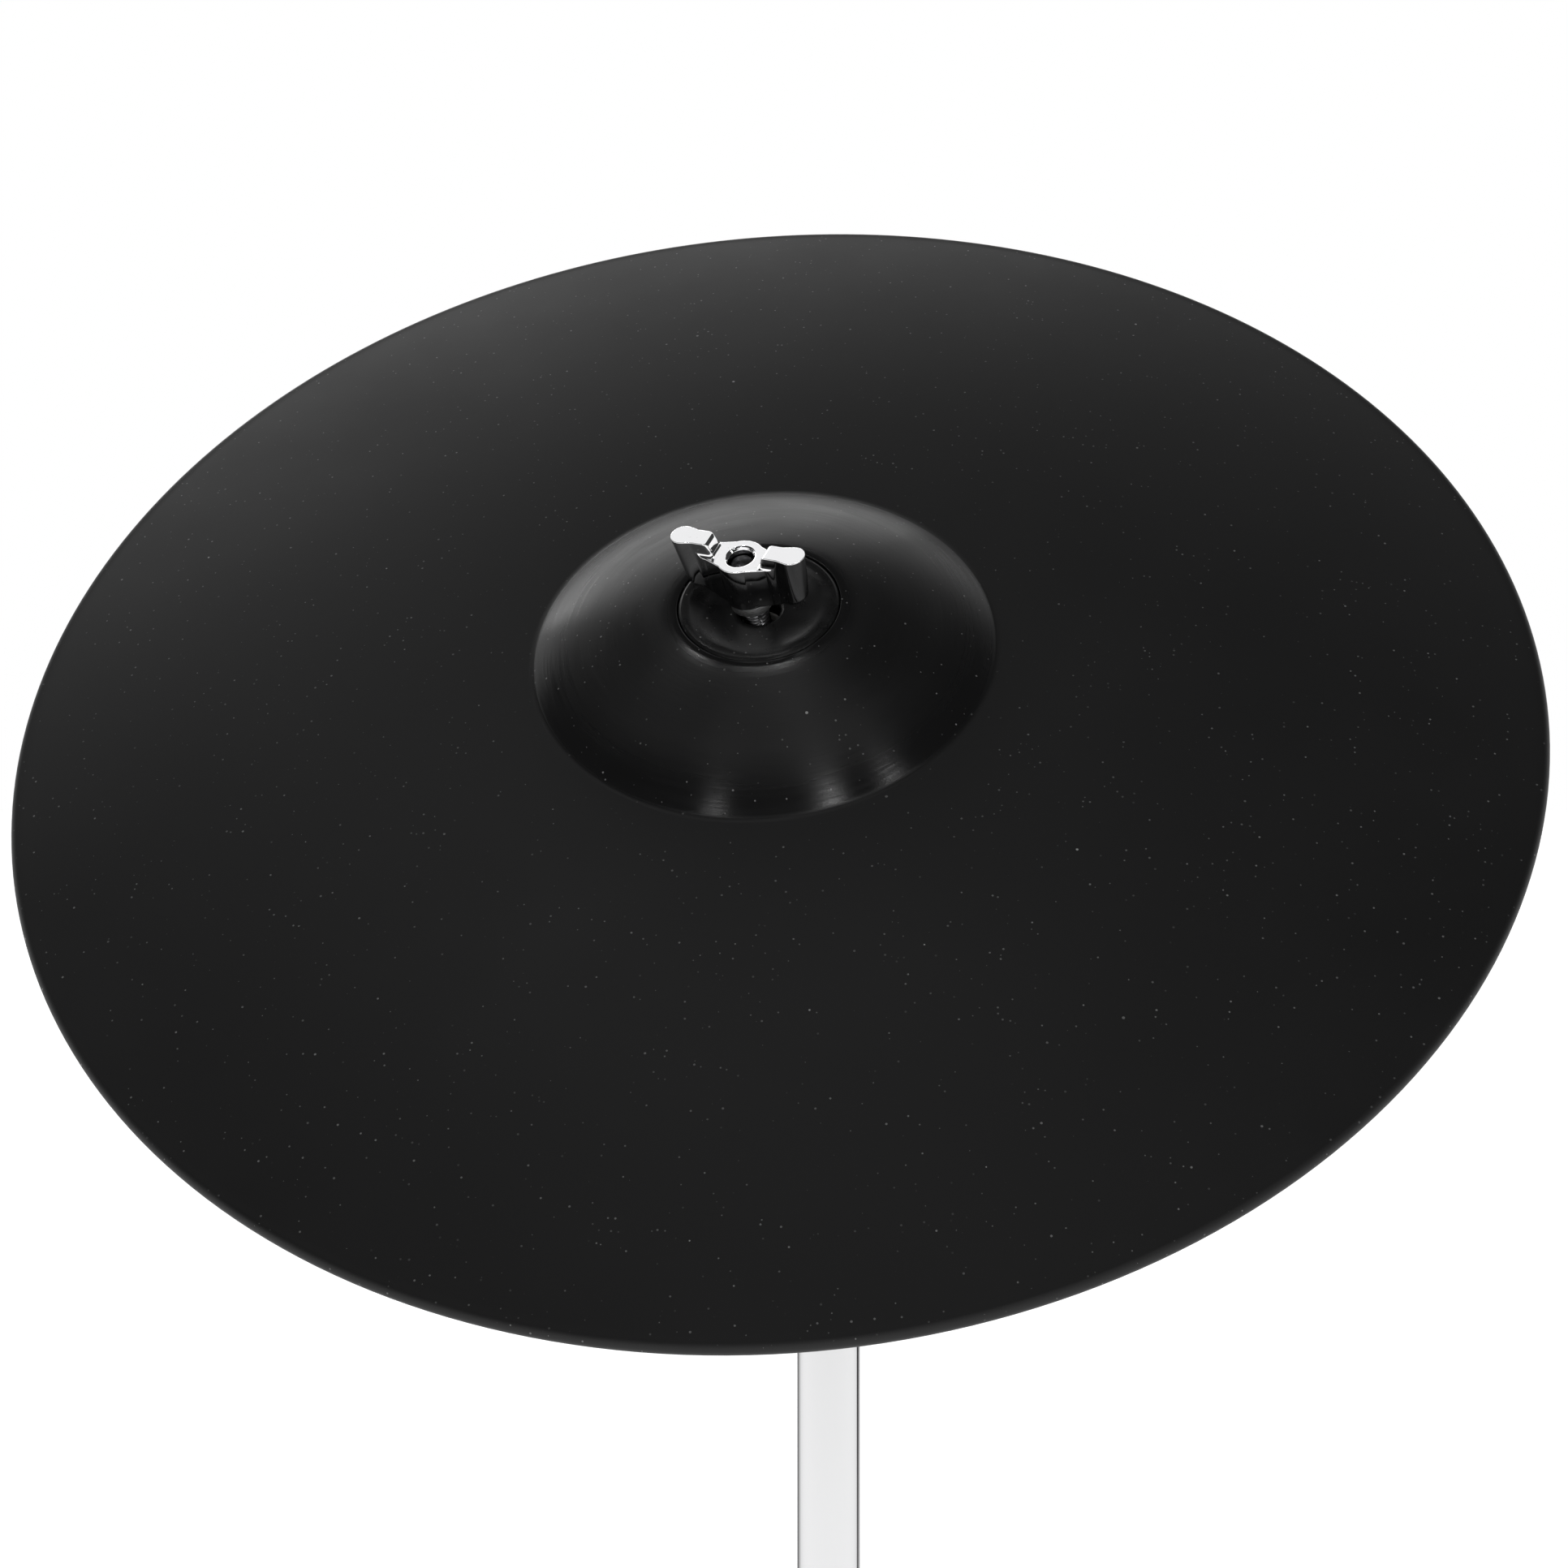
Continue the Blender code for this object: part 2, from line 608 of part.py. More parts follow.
def wing_outline(span, root, tip):
    """Outline of a pair of wings, as (distance along the wings, height) points."""
    inner, outer = span
    root_low, root_high = root
    tip_low, tip_high = tip
    corner = 0.12 * (tip_high - tip_low)
    rise = tip_low - root_low
    right = [
        (inner + 1, root_low + 0.1 * rise),
        (0.5 * (inner + outer), root_low + 0.45 * rise),
        (outer - 2 * corner, tip_low - 0.1 * rise),
        (outer - 0.3 * corner, tip_low + corner),
        (outer, tip_low + 3 * corner),
        (outer, tip_high - corner),
        (outer - corner, tip_high),
        (inner + 4, tip_high),
        (inner + 2.8, tip_high - corner),
        (inner + 1.4, root_high + 0.2),
    ]
    left = [(-x, z) for x, z in reversed(right)]
    return right + left


def make_wings_tool(name, outline, thickness, parent, turn):
    """Both wings as one solid plate that passes through the middle of the hub."""
    bm = bmesh.new()
    corners = [bm.verts.new((x * MM, -0.5 * thickness * MM, z * MM)) for x, z in outline]
    plate = bm.faces.new(corners)
    pushed = bmesh.ops.extrude_face_region(bm, geom=[plate])["geom"]
    moved = [item for item in pushed if isinstance(item, bmesh.types.BMVert)]
    bmesh.ops.translate(bm, verts=moved, vec=(0, thickness * MM, 0))
    bmesh.ops.delete(bm, geom=[plate], context="FACES_ONLY")
    bm.faces.new(corners)
    wings = tool(finish(name, bm, None, parent, (0, 0, 0), turn))
    round_edges(wings, 0.2 * thickness)
    return wings


def make_winged(name, hub_profile, bore_profile, outline, thickness, material, parent, turn):
    """A nut with two wings: solid hub, wings joined on, then the bore cut through."""
    hub = turned(name, hub_profile, material, parent, turn=turn)
    combine(hub, make_wings_tool(f"{name}_wings_tool", outline, thickness, parent, turn), "UNION")
    combine(hub, turned_tool(f"{name}_bore_tool", bore_profile, parent, turn=turn), "DIFFERENCE")


def make_wing_nut(post):
    """Chromed wing nut and the plain threaded insert that carries it up and down the post."""
    edge = 0.4
    insert_bore = POST_RADIUS + GAP
    insert_shoulder = NUT_BOTTOM - GAP
    insert_profile = [
        (INSERT_RADIUS, INSERT_BOTTOM + edge),
        (INSERT_RADIUS - edge, INSERT_BOTTOM),
        (insert_bore, INSERT_BOTTOM),
        (insert_bore, INSERT_TOP),
        (INSERT_NECK_RADIUS, INSERT_TOP),
        (INSERT_NECK_RADIUS, insert_shoulder),
        (INSERT_RADIUS, insert_shoulder),
    ]
    turned("thread_insert", insert_profile, look("brushed_insert", (0.5, 0.5, 0.5), 0.35, 1.0), post)
    hub_profile = [
        (0, NUT_TOP),
        (NUT_RADIUS - edge, NUT_TOP),
        (NUT_RADIUS, NUT_TOP - edge),
        (NUT_RADIUS, NUT_BOTTOM + edge),
        (NUT_RADIUS - edge, NUT_BOTTOM),
        (0, NUT_BOTTOM),
    ]
    beyond = 5.0
    wide_bore = INSERT_NECK_RADIUS + GAP
    bore_profile = [
        (0, NUT_TOP + beyond),
        (NUT_BORE, NUT_TOP + beyond),
        (NUT_BORE, NUT_SHOULDER),
        (wide_bore, NUT_SHOULDER),
        (wide_bore, NUT_BOTTOM - beyond),
        (0, NUT_BOTTOM - beyond),
    ]
    outline = wing_outline(NUT_WING_SPAN, NUT_WING_ROOT, NUT_WING_TIP)
    chrome = look("wing_nut_chrome", (0.9, 0.9, 0.9), 0.05, 1.0)
    make_winged("wing_nut", hub_profile, bore_profile, outline, NUT_WING_THICKNESS, chrome, post,
                (0, 0, NUT_TURN))


def make_post_stack(post):
    """Post and the plain rings on it, up to the seat of the cymbal."""
    edge = 0.4
    nose_bottom = POST_TOP - POST_NOSE_HEIGHT
    post_bottom = SOCKET_FLOOR + edge
    post_profile = [
        (0, POST_TOP),
        (POST_NOSE_RADIUS - edge, POST_TOP),
        (POST_NOSE_RADIUS, POST_TOP - edge),
        (POST_NOSE_RADIUS, nose_bottom + edge),
        (POST_RADIUS, nose_bottom),
        (POST_RADIUS, post_bottom),
        (0, post_bottom),
    ]
    turned("cymbal_post", post_profile, look("post_steel", (0.3, 0.3, 0.3), 0.3, 1.0), post)
    bore = POST_RADIUS + GAP
    sleeve_bottom = SHOULDER_HEIGHT + GAP
    flange_top = sleeve_bottom + SLEEVE_FLANGE_HEIGHT
    sleeve_profile = [
        (SLEEVE_RADIUS, SLEEVE_TOP),
        (SLEEVE_RADIUS, flange_top),
        (SLEEVE_FLANGE_RADIUS, flange_top),
        (SLEEVE_FLANGE_RADIUS, sleeve_bottom),
        (bore, sleeve_bottom),
        (bore, SLEEVE_TOP),
    ]
    turned("post_sleeve", sleeve_profile, look("sleeve_nylon", (0.02, 0.02, 0.02), 0.5), post)
    dish_bottom = DOMED_WASHER_BOTTOM + DOMED_WASHER_DISH
    washer_profile = [
        (SLEEVE_RADIUS + GAP, dish_bottom + DOMED_WASHER_THICKNESS),
        (DOMED_WASHER_RADIUS, DOMED_WASHER_BOTTOM + DOMED_WASHER_THICKNESS),
        (DOMED_WASHER_RADIUS, DOMED_WASHER_BOTTOM),
        (SLEEVE_RADIUS + GAP, dish_bottom),
    ]
    turned("domed_washer", washer_profile, look("washer_steel", (0.7, 0.7, 0.7), 0.25, 1.0), post)


def bolt_hole():
    """Guide for the bolt's hole, longer than either half of the tilter is wide."""
    reach = 2 * TILTER_RADIUS
    return rod(BOLT_RADIUS + GAP, -reach, reach)


def make_tilter_head(post):
    """Pivoting half of the tilter: a flat disc, a waist and the socket of the post."""
    cast = look("tilter_chrome", (0.8, 0.8, 0.8), 0.15, 1.0)
    bore = POST_RADIUS + GAP
    neck_top = TILTER_RADIUS + 0.6
    neck_bottom = TILTER_RADIUS - 4.0
    socket_profile = [
        (0, SOCKET_FLOOR),
        (bore, SOCKET_FLOOR),
        (bore, SHOULDER_HEIGHT),
        (SOCKET_RADIUS, SHOULDER_HEIGHT),
        (SOCKET_RADIUS, 2 * neck_top - TILTER_RADIUS),
        (NECK_OF_HEAD, neck_top),
        (NECK_OF_HEAD, neck_bottom),
        (0, neck_bottom),
    ]
    head = turned("tilter_head", socket_profile, cast, post)
    disc = turned_tool("head_disc_tool", rod(TILTER_RADIUS, -HEAD_HALF_WIDTH, HEAD_HALF_WIDTH), post)
    hole = turned_tool("head_hole_tool", bolt_hole(), post)
    combine(head, disc, "UNION")
    combine(head, hole, "DIFFERENCE")


def make_tilter_base(stand_head):
    """Fixed half of the tilter, with the spigot that fits in the tube."""
    cast = look("base_chrome", (0.8, 0.8, 0.8), 0.15, 1.0)
    half_width = POST_OFFSET - BASE_INNER_FACE
    neck_radius = half_width - GAP
    collar_bottom = -COLLAR_DROP - COLLAR_HEIGHT
    spigot_chamfer = 1.0
    spigot_profile = [
        (0, -0.5 * TILTER_RADIUS),
        (neck_radius, -0.5 * TILTER_RADIUS),
        (neck_radius, 2 * GAP - COLLAR_DROP),
        (TUBE_RADIUS, -COLLAR_DROP),
        (TUBE_RADIUS, collar_bottom),
        (SPIGOT_RADIUS, collar_bottom),
        (SPIGOT_RADIUS, spigot_chamfer - SPIGOT_DROP),
        (SPIGOT_RADIUS - spigot_chamfer, -SPIGOT_DROP),
        (0, -SPIGOT_DROP),
    ]
    base = turned("tilter_base", spigot_profile, cast, stand_head)
    disc = turned_tool("base_disc_tool", rod(TILTER_RADIUS, -half_width, half_width), stand_head)
    hole = turned_tool("base_hole_tool", bolt_hole(), stand_head)
    combine(base, disc, "UNION")
    combine(base, hole, "DIFFERENCE")
    return base


def make_clamp(stand_head):
    """Bolt, friction washer, plain washer and wing nut that squeeze the tilter's halves together."""
    pivot = frame("clamp_axis", stand_head, (-POST_OFFSET, 0, 0), (0, -QUARTER, 0))
    bolt_edge = 0.5
    head_seat = BASE_INNER_FACE - 2 * POST_OFFSET - GAP
    bolt_profile = [
        (0, BOLT_REACH),
        (BOLT_RADIUS - bolt_edge, BOLT_REACH),
        (BOLT_RADIUS, BOLT_REACH - bolt_edge),
        (BOLT_RADIUS, head_seat),
        (BOLT_HEAD_RADIUS, head_seat),
        (BOLT_HEAD_RADIUS, head_seat - 0.5 * BOLT_RADIUS),
        (BOLT_HEAD_RADIUS - 2.5, head_seat - BOLT_RADIUS),
        (0, head_seat - BOLT_RADIUS - bolt_edge),
    ]
    turned("clamp_bolt", bolt_profile, look("bolt_chrome", (0.75, 0.75, 0.75), 0.2, 1.0), pivot)
    bore = BOLT_RADIUS + GAP
    near = HEAD_HALF_WIDTH + GAP
    friction = tube(bore, FRICTION_RADIUS, -near - FRICTION_THICKNESS, -near)
    turned("friction_washer", friction, look("friction_fibre", (0.12, 0.05, 0.03), 0.8), pivot)
    washer_top = near + CLAMP_WASHER_THICKNESS
    washer = tube(bore, CLAMP_WASHER_RADIUS, near, washer_top)
    turned("clamp_washer", washer, look("washer_zinc", (0.6, 0.6, 0.6), 0.3, 1.0), pivot)
    low = washer_top + GAP
    hub = rod(CLAMP_NUT_RADIUS, low, low + CLAMP_NUT_HEIGHT)
    bore_profile = rod(bore, low - CLAMP_NUT_HEIGHT, low + 2 * CLAMP_NUT_HEIGHT)
    root = [low + height for height in CLAMP_WING_ROOT]
    tip = [low + height for height in CLAMP_WING_TIP]
    outline = wing_outline(CLAMP_WING_SPAN, root, tip)
    chrome = look("clamp_chrome", (0.85, 0.85, 0.85), 0.12, 1.0)
    make_winged("clamp_wing_nut", hub, bore_profile, outline, CLAMP_WING_THICKNESS, chrome, pivot, (0, 0, 0))


def make_tube(stand, stand_head, base):
    """Top tube of the stand, its foot plug, and the pin through tube and spigot."""
    steel = look("tube_chrome", (0.85, 0.85, 0.85), 0.15, 1.0)
    top = PIVOT_HEIGHT - COLLAR_DROP - COLLAR_HEIGHT - GAP
    piece = turned("stand_tube", tube(TUBE_BORE, TUBE_RADIUS, TUBE_BOTTOM, top), steel, stand)
    plug_edge = 0.8
    plug_radius = TUBE_BORE - GAP
    plug_shoulder = TUBE_BOTTOM - GAP
    plug_profile = [
        (0, PLUG_TOP),
        (plug_radius - plug_edge, PLUG_TOP),
        (plug_radius, PLUG_TOP - plug_edge),
        (plug_radius, plug_shoulder),
        (TUBE_RADIUS, plug_shoulder),
        (TUBE_RADIUS, plug_edge),
        (TUBE_RADIUS - plug_edge, 0),
        (0, 0),
    ]
    turned("tube_plug", plug_profile, look("plug_rubber", (0.02, 0.02, 0.02), 0.7), stand)
    pin_spot = (0, 0, -PIN_DROP)
    pin_half_length = TUBE_RADIUS + 0.2
    hole_profile = rod(PIN_RADIUS + GAP, -2 * TUBE_RADIUS, 2 * TUBE_RADIUS)
    hole = turned_tool("pin_hole_tool", hole_profile, stand_head, pin_spot)
    combine(piece, hole, "DIFFERENCE")
    combine(base, hole, "DIFFERENCE")
    turned("tube_pin", rod(PIN_RADIUS, -pin_half_length, pin_half_length),
           look("pin_steel", (0.5, 0.5, 0.5), 0.3, 1.0), stand_head, PIN_STEPS, pin_spot, (0, QUARTER, 0))


def make_felt(seat):
    """Felt disc that lets the cymbal rock on the post."""
    bottom = FELT_TOP - FELT_THICKNESS
    profile = [
        (FELT_BORE, FELT_TOP),
        (FELT_RADIUS - FELT_EDGE, FELT_TOP),
        (FELT_RADIUS, FELT_TOP - FELT_EDGE),
        (FELT_RADIUS, bottom + FELT_EDGE),
        (FELT_RADIUS - FELT_EDGE, bottom),
        (FELT_BORE, bottom),
    ]
    turned("seat_felt", profile, look("felt", (0.03, 0.03, 0.03), 1.0), seat)


def build():
    """Make the joints' frames from the foot up, then the pieces that each one carries."""
    clear_scene()
    stand = frame("stand_frame")
    stand_head = frame("stand_head_frame", stand, (0, 0, PIVOT_HEIGHT), (0, 0, HEADING))
    post = frame("post_frame", stand_head, (-POST_OFFSET, 0, 0), (LEAN, 0, 0))
    seat = frame("seat_frame", post, (0, 0, SEAT_ON_POST), (SWING_NOD, 0, 0))
    rocker = frame("rocker_frame", seat, turn=(0, SWING_ROLL, 0))
    cymbal = frame("cymbal_frame", rocker, (0, 0, -SEAT_IN_CYMBAL))
    base = make_tilter_base(stand_head)
    make_tube(stand, stand_head, base)
    make_clamp(stand_head)
    make_tilter_head(post)
    make_post_stack(post)
    make_wing_nut(post)
    make_felt(seat)
    make_centre_bush(look("bush_acetal", (0.6, 0.6, 0.58), 0.4), rocker)
    make_cymbal(cymbal)


build()
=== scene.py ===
"""The looks of the padded crash cymbal: fine meshes, procedural materials, studio light and camera.

Sizes of pieces are in millimetres, in the frame of the piece's own axis. Each frame is worked out from the
packed joints, so that a fine piece sits exactly where its solid does. The studio is laid out in metres.
"""
import json
import math
from itertools import product

import bpy
import numpy as np
from mathutils import Matrix, Vector


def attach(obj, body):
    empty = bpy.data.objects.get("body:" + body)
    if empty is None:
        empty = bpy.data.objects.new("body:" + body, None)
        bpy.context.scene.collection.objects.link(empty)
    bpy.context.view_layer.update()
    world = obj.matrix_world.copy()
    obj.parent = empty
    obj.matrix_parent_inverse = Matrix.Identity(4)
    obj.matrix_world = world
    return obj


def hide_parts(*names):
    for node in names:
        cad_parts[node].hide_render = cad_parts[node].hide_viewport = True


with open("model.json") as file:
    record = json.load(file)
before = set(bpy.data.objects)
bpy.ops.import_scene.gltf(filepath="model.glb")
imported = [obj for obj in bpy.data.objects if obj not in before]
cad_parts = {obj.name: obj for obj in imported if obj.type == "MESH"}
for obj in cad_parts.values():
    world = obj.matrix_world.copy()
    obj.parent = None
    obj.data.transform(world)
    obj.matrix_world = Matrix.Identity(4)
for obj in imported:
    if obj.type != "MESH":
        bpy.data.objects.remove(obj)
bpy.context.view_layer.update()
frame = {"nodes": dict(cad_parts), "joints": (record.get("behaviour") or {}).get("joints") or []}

MM = 0.001
FULL_TURN = 2 * math.pi
QUARTER_TURN = math.pi / 2
FINE_STEPS = 256
RIBBED_STEPS = 192
RING_STEPS = 128
SMALL_STEPS = 64
SHARP_ANGLE = math.radians(32)
STRAIGHT_HALF_ANGLE = math.radians(82)
DRILL_TWIST = 0.011  # radians, so that no corner of a drill falls on an edge of the piece
TINY = 1e-6

# Cymbal outline, measured from the plane of its rim.
CYMBAL_RADIUS = 228.6
RIM_HALF_DEPTH = 2.3
RIM_ROUND = 2.4
BOW_END = CYMBAL_RADIUS - RIM_ROUND
BOW_START_SLOPE = 0.03
BELL_RADIUS = 68.6
BELL_FOOT_HEIGHT = 20.85
BELL_SPHERE = 125.0
BELL_CENTRE = BELL_FOOT_HEIGHT - math.sqrt(BELL_SPHERE**2 - BELL_RADIUS**2)
BOW_RUN = BOW_END - BELL_RADIUS
BOW_CURVE = (BELL_FOOT_HEIGHT - RIM_HALF_DEPTH - BOW_START_SLOPE * BOW_RUN) / BOW_RUN**2
SEAT_IN_CYMBAL = 25.5

# Layers of the cymbal, as depths below its playing surface, and the radii where they start and stop.
SKIN_DEPTH = 3.0
POCKET_DEPTH = 1.7
PLATE_DEPTH = 3.4
SHEET_TOP = 5.6
SHEET_BOTTOM = 7.0
COVER_TOP = 7.4
COVER_BOTTOM = 8.6
CAP_RADIUS = 23.55
SKIN_START = 23.95
BELL_POCKET = (40.0, 62.0)
EDGE_POCKET = (206.0, 222.4)
LIP_START = 214.0
COVER_SPAN = (81.0, 212.0)

# Sizes shared by the hardware.
TUBE_RADIUS = 9.525
TUBE_WALL = 1.5
POST_RADIUS = 4.0
POST_PITCH = 1.25
BOLT_RADIUS = 3.0
BOLT_PITCH = 1.0
BOLT_HOLE = 3.3
TILTER_RADIUS = 12.0
HEAD_HALF_WIDTH = 4.5
FACE_GAP = 6.1
POST_OFFSET = 11.1
BASE_HALF_WIDTH = POST_OFFSET - FACE_GAP
GAP = 0.3
HOUSING_SCREWS = 6
HOUSING_SCREW_CIRCLE = 75.0
HOUSING_FLANGE = 2.0
JACK_HEIGHT = 5.9
JACK_RADIUS = 4.9
JACK_PITCH = 0.8
JACK_NUT_MIDDLE = 70.35
SMALL_HOLE = 1.8
PIN_DEPTH = 38.0
NUT_TURN = math.radians(-13.5)
NUT_TOP = 78.2


# ---- frames of the joints

def axes(origin, along_x, along_z):
    """A frame with its Z on one direction and its X as near as can be to another."""
    z = Vector(along_z).normalized()
    y = z.cross(Vector(along_x)).normalized()
    matrix = Matrix((y.cross(z), y, z)).transposed().to_4x4()
    matrix.translation = Vector(origin)
    return matrix


def shifted(matrix, x=0.0, y=0.0, z=0.0):
    """A frame moved along its own axes, in millimetres."""
    return matrix @ Matrix.Translation(Vector((x, y, z)) * MM)


def rotated(matrix, angle, axis):
    """A frame turned about one of its own axes."""
    return matrix @ Matrix.Rotation(angle, 4, axis)


JOINTS = {joint["name"]: joint for joint in frame["joints"]}
PIVOT = Vector(JOINTS["tilter_pivot"]["pos_m"])
PIVOT_AXIS = Vector(JOINTS["tilter_pivot"]["axis"])
POST_AXIS = Vector(JOINTS["wing_nut_turn"]["axis"])
SEAT_POINT = Vector(JOINTS["cymbal_spin"]["pos_m"])
SPIN_AXIS = Vector(JOINTS["cymbal_spin"]["axis"])
ROLL_AXIS = Vector(JOINTS["cymbal_roll"]["axis"])

STAND = Matrix.Identity(4)
STAND_HEAD = axes(PIVOT + POST_OFFSET * MM * PIVOT_AXIS, PIVOT_AXIS, (0, 0, 1))
PIN = rotated(shifted(STAND_HEAD, z=-PIN_DEPTH), QUARTER_TURN, "Y")
POST = axes(PIVOT, PIVOT_AXIS, POST_AXIS)
SEAT = axes(SEAT_POINT, PIVOT_AXIS, PIVOT_AXIS.cross(ROLL_AXIS))
CYMBAL = shifted(axes(SEAT_POINT, ROLL_AXIS.cross(SPIN_AXIS), SPIN_AXIS), z=-SEAT_IN_CYMBAL)
CLAMP = axes(PIVOT, (0, 0, 1), -PIVOT_AXIS)
JACK = rotated(shifted(CYMBAL, z=JACK_HEIGHT), -QUARTER_TURN, "X")


# ---- meshes

def points_of(mesh):
    """A mesh's points, in metres."""
    return np.array([vertex.co[:] for vertex in mesh.vertices])


def polar(places):
    """Distance from Z, and angle round it, of each place."""
    return np.hypot(places[:, 0], places[:, 1]), np.arctan2(places[:, 1], places[:, 0])


def move_points(mesh, places):
    """Put a mesh's points at new places, given in millimetres."""
    mesh.vertices.foreach_set("co", (places * MM).ravel())


def store_place(mesh, matrix):
    """Keep each point's place in the piece's own frame, for the materials to read."""
    back = np.array(matrix.inverted())
    own = points_of(mesh) @ back[:3, :3].T + back[:3, 3]
    kept = mesh.attributes.get("place") or mesh.attributes.new("place", "FLOAT_VECTOR", "POINT")
    kept.data.foreach_set("vector", own.astype(np.float32).ravel())


def add_object(name, data):
    """A new object in the scene."""
    made = bpy.data.objects.new(name, data)
    bpy.context.scene.collection.objects.link(made)
    return made


def settle(name, mesh, matrix, look, body, node):
    """Put a finished mesh in place, on its body and in place of its solid."""
    mesh.transform(matrix)
    store_place(mesh, matrix)
    piece = add_object(name, mesh)
    mesh.materials.append(LOOKS[look])
    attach(piece, body)
    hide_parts(node)
    return piece


def make_mesh(name, points, faces, sharp=True):
    """A mesh from points in millimetres."""
    mesh = bpy.data.meshes.new(name)
    mesh.from_pydata((np.asarray(points, float) * MM).tolist(), [], faces)
    mesh.validate()
    mesh.shade_smooth()
    if sharp:
        mesh.set_sharp_from_angle(angle=SHARP_ANGLE)
    return mesh


def rounded(profile, radius, steps=4, closed=True):
    """Round the corners of a profile with arcs."""
    count = len(profile)
    result = []
    for i, corner in enumerate(profile):
        here = np.array(corner, float)
        back = np.array(profile[i - 1], float) - here
        ahead = np.array(profile[(i + 1) % count], float) - here
        reach_back = np.linalg.norm(back)
        reach_ahead = np.linalg.norm(ahead)
        is_end = not closed and i in (0, count - 1)
        if is_end or min(reach_back, reach_ahead) < TINY:
            result.append(tuple(here))
            continue
        back /= reach_back
        ahead /= reach_ahead
        half = 0.5 * math.acos(max(-1.0, min(1.0, float(back @ ahead))))
        if half > STRAIGHT_HALF_ANGLE:
            result.append(tuple(here))
            continue
        run = min(radius / math.tan(half), 0.45 * reach_back, 0.45 * reach_ahead)
        bend = run * math.tan(half)
        middle = back + ahead
        centre = here + middle / np.linalg.norm(middle) * bend / math.sin(half)
        start = here + back * run - centre
        stop = here + ahead * run - centre
        for k in range(steps + 1):
            spot = start * (1 - k / steps) + stop * (k / steps)
            result.append(tuple(centre + spot / np.linalg.norm(spot) * bend))
    return result


def turned_mesh(name, profile, steps=RING_STEPS, radius_change=None):
    """Turn a closed profile of (radius, height) about Z. Points on the axis are shared."""
    angles = np.linspace(0, FULL_TURN, steps, endpoint=False)
    points = []
    rings = []
    for radius, height in profile:
        if radius < TINY:
            rings.append([len(points)] * steps)
            points.append((0.0, 0.0, height))
            continue
        rings.append(list(range(len(points), len(points) + steps)))
        radii = radius + (radius_change(radius, height, angles) if radius_change else 0 * angles)
        points.extend(zip(radii * np.cos(angles), radii * np.sin(angles), np.full(steps, height)))
    faces = []
    area = 0.0
    for i, first in enumerate(rings):
        after = (i + 1) % len(rings)
        second = rings[after]
        area += profile[i][0] * profile[after][1] - profile[after][0] * profile[i][1]
        if first[0] == first[1] and second[0] == second[1]:
            continue
        for k in range(steps):
            j = (k + 1) % steps
            faces.append(tuple(dict.fromkeys((first[k], second[k], second[j], first[j]))))
    if area > 0:
        faces = [tuple(reversed(face)) for face in faces]
    return make_mesh(name, points, faces)


def turned(name, profile, matrix, look, body, node, corner=0.3, steps=RING_STEPS, radius_change=None):
    """A turned piece, with softened edges if it has a corner radius."""
    if corner:
        on_axis = min(profile)[0] <= 0
        profile = rounded(profile, corner, closed=not on_axis)
    mesh = turned_mesh(name, profile, steps, radius_change)
    return settle(name, mesh, matrix, look, body, node)


def tube(inner, outer, low, high):
    """Profile of a plain ring."""
    return [(outer, low), (outer, high), (inner, high), (inner, low)]


def rod(radius, low, high):
    """Profile of a plain cylinder."""
    return [(0, low), (radius, low), (radius, high), (0, high)]


def teeth(angle, count, slope, drop):
    """A row of raised marks round an axis, from 0 to 1."""
    return np.clip(slope * np.cos(count * angle) - drop, 0, 1)


def span_mask(away, start, stop, fade):
    """Full between two radii, fading out just inside each."""
    return np.clip((away - start) / fade, 0, 1) * np.clip((stop - away) / fade, 0, 1)


def cut_holes(piece, radius, length, matrix, spots):
    """Drill round holes through a piece, and apply the cuts."""
    for spot in spots:
        drill = add_object("drill", turned_mesh("drill", rod(radius, -length / 2, length / 2), SMALL_STEPS))
        drill.matrix_world = rotated(shifted(matrix, *spot), DRILL_TWIST, "Z")
        bpy.context.view_layer.update()
        cut = piece.modifiers.new("hole", "BOOLEAN")
        cut.operation = "DIFFERENCE"
        cut.solver = "EXACT"
        cut.object = drill
        bpy.context.view_layer.objects.active = piece
        with bpy.context.temp_override(object=piece, active_object=piece):
            bpy.ops.object.modifier_apply(modifier=cut.name)
        bpy.data.objects.remove(drill)


# ---- distance fields, for cast pieces

def smooth_union(a, b, blend):
    """Join two distances with a fillet."""
    mix = np.clip(0.5 + 0.5 * (b - a) / blend, 0, 1)
    return b * (1 - mix) + a * mix - blend * mix * (1 - mix)


def smooth_cut(a, b, blend):
    """Keep what is inside both distances, with a rounded edge between them."""
    return -smooth_union(-a, -b, blend)


def cylinder(p, radius, low, high, blend=0.5):
    """Distance to a cylinder about Z."""
    side = np.hypot(p[..., 0], p[..., 1]) - radius
    ends = np.abs(p[..., 2] - 0.5 * (low + high)) - 0.5 * (high - low)
    return smooth_cut(side, ends, blend)


def tapered(x, y, start, stop, first, second):
    """Plan distance to a bar from (start, 0) to (stop, 0) whose half-width changes along it."""
    t = np.clip((x - start) / (stop - start), 0, 1)
    return np.hypot(x - (start + t * (stop - start)), y) - (first + t * (second - first))


def gradient(field, points, reach):
    """Slope of a distance field."""
    steps = reach * np.eye(3)
    return np.stack([(field(points + step) - field(points - step)) / (2 * reach) for step in steps], -1)


def pull(field, points, reach, rounds):
    """Move points onto the surface of a distance field."""
    for _ in range(rounds):
        slope = gradient(field, points, reach)
        size = np.maximum((slope**2).sum(-1), 1e-4)
        points = points - (field(points) / size)[:, None] * slope
    return points


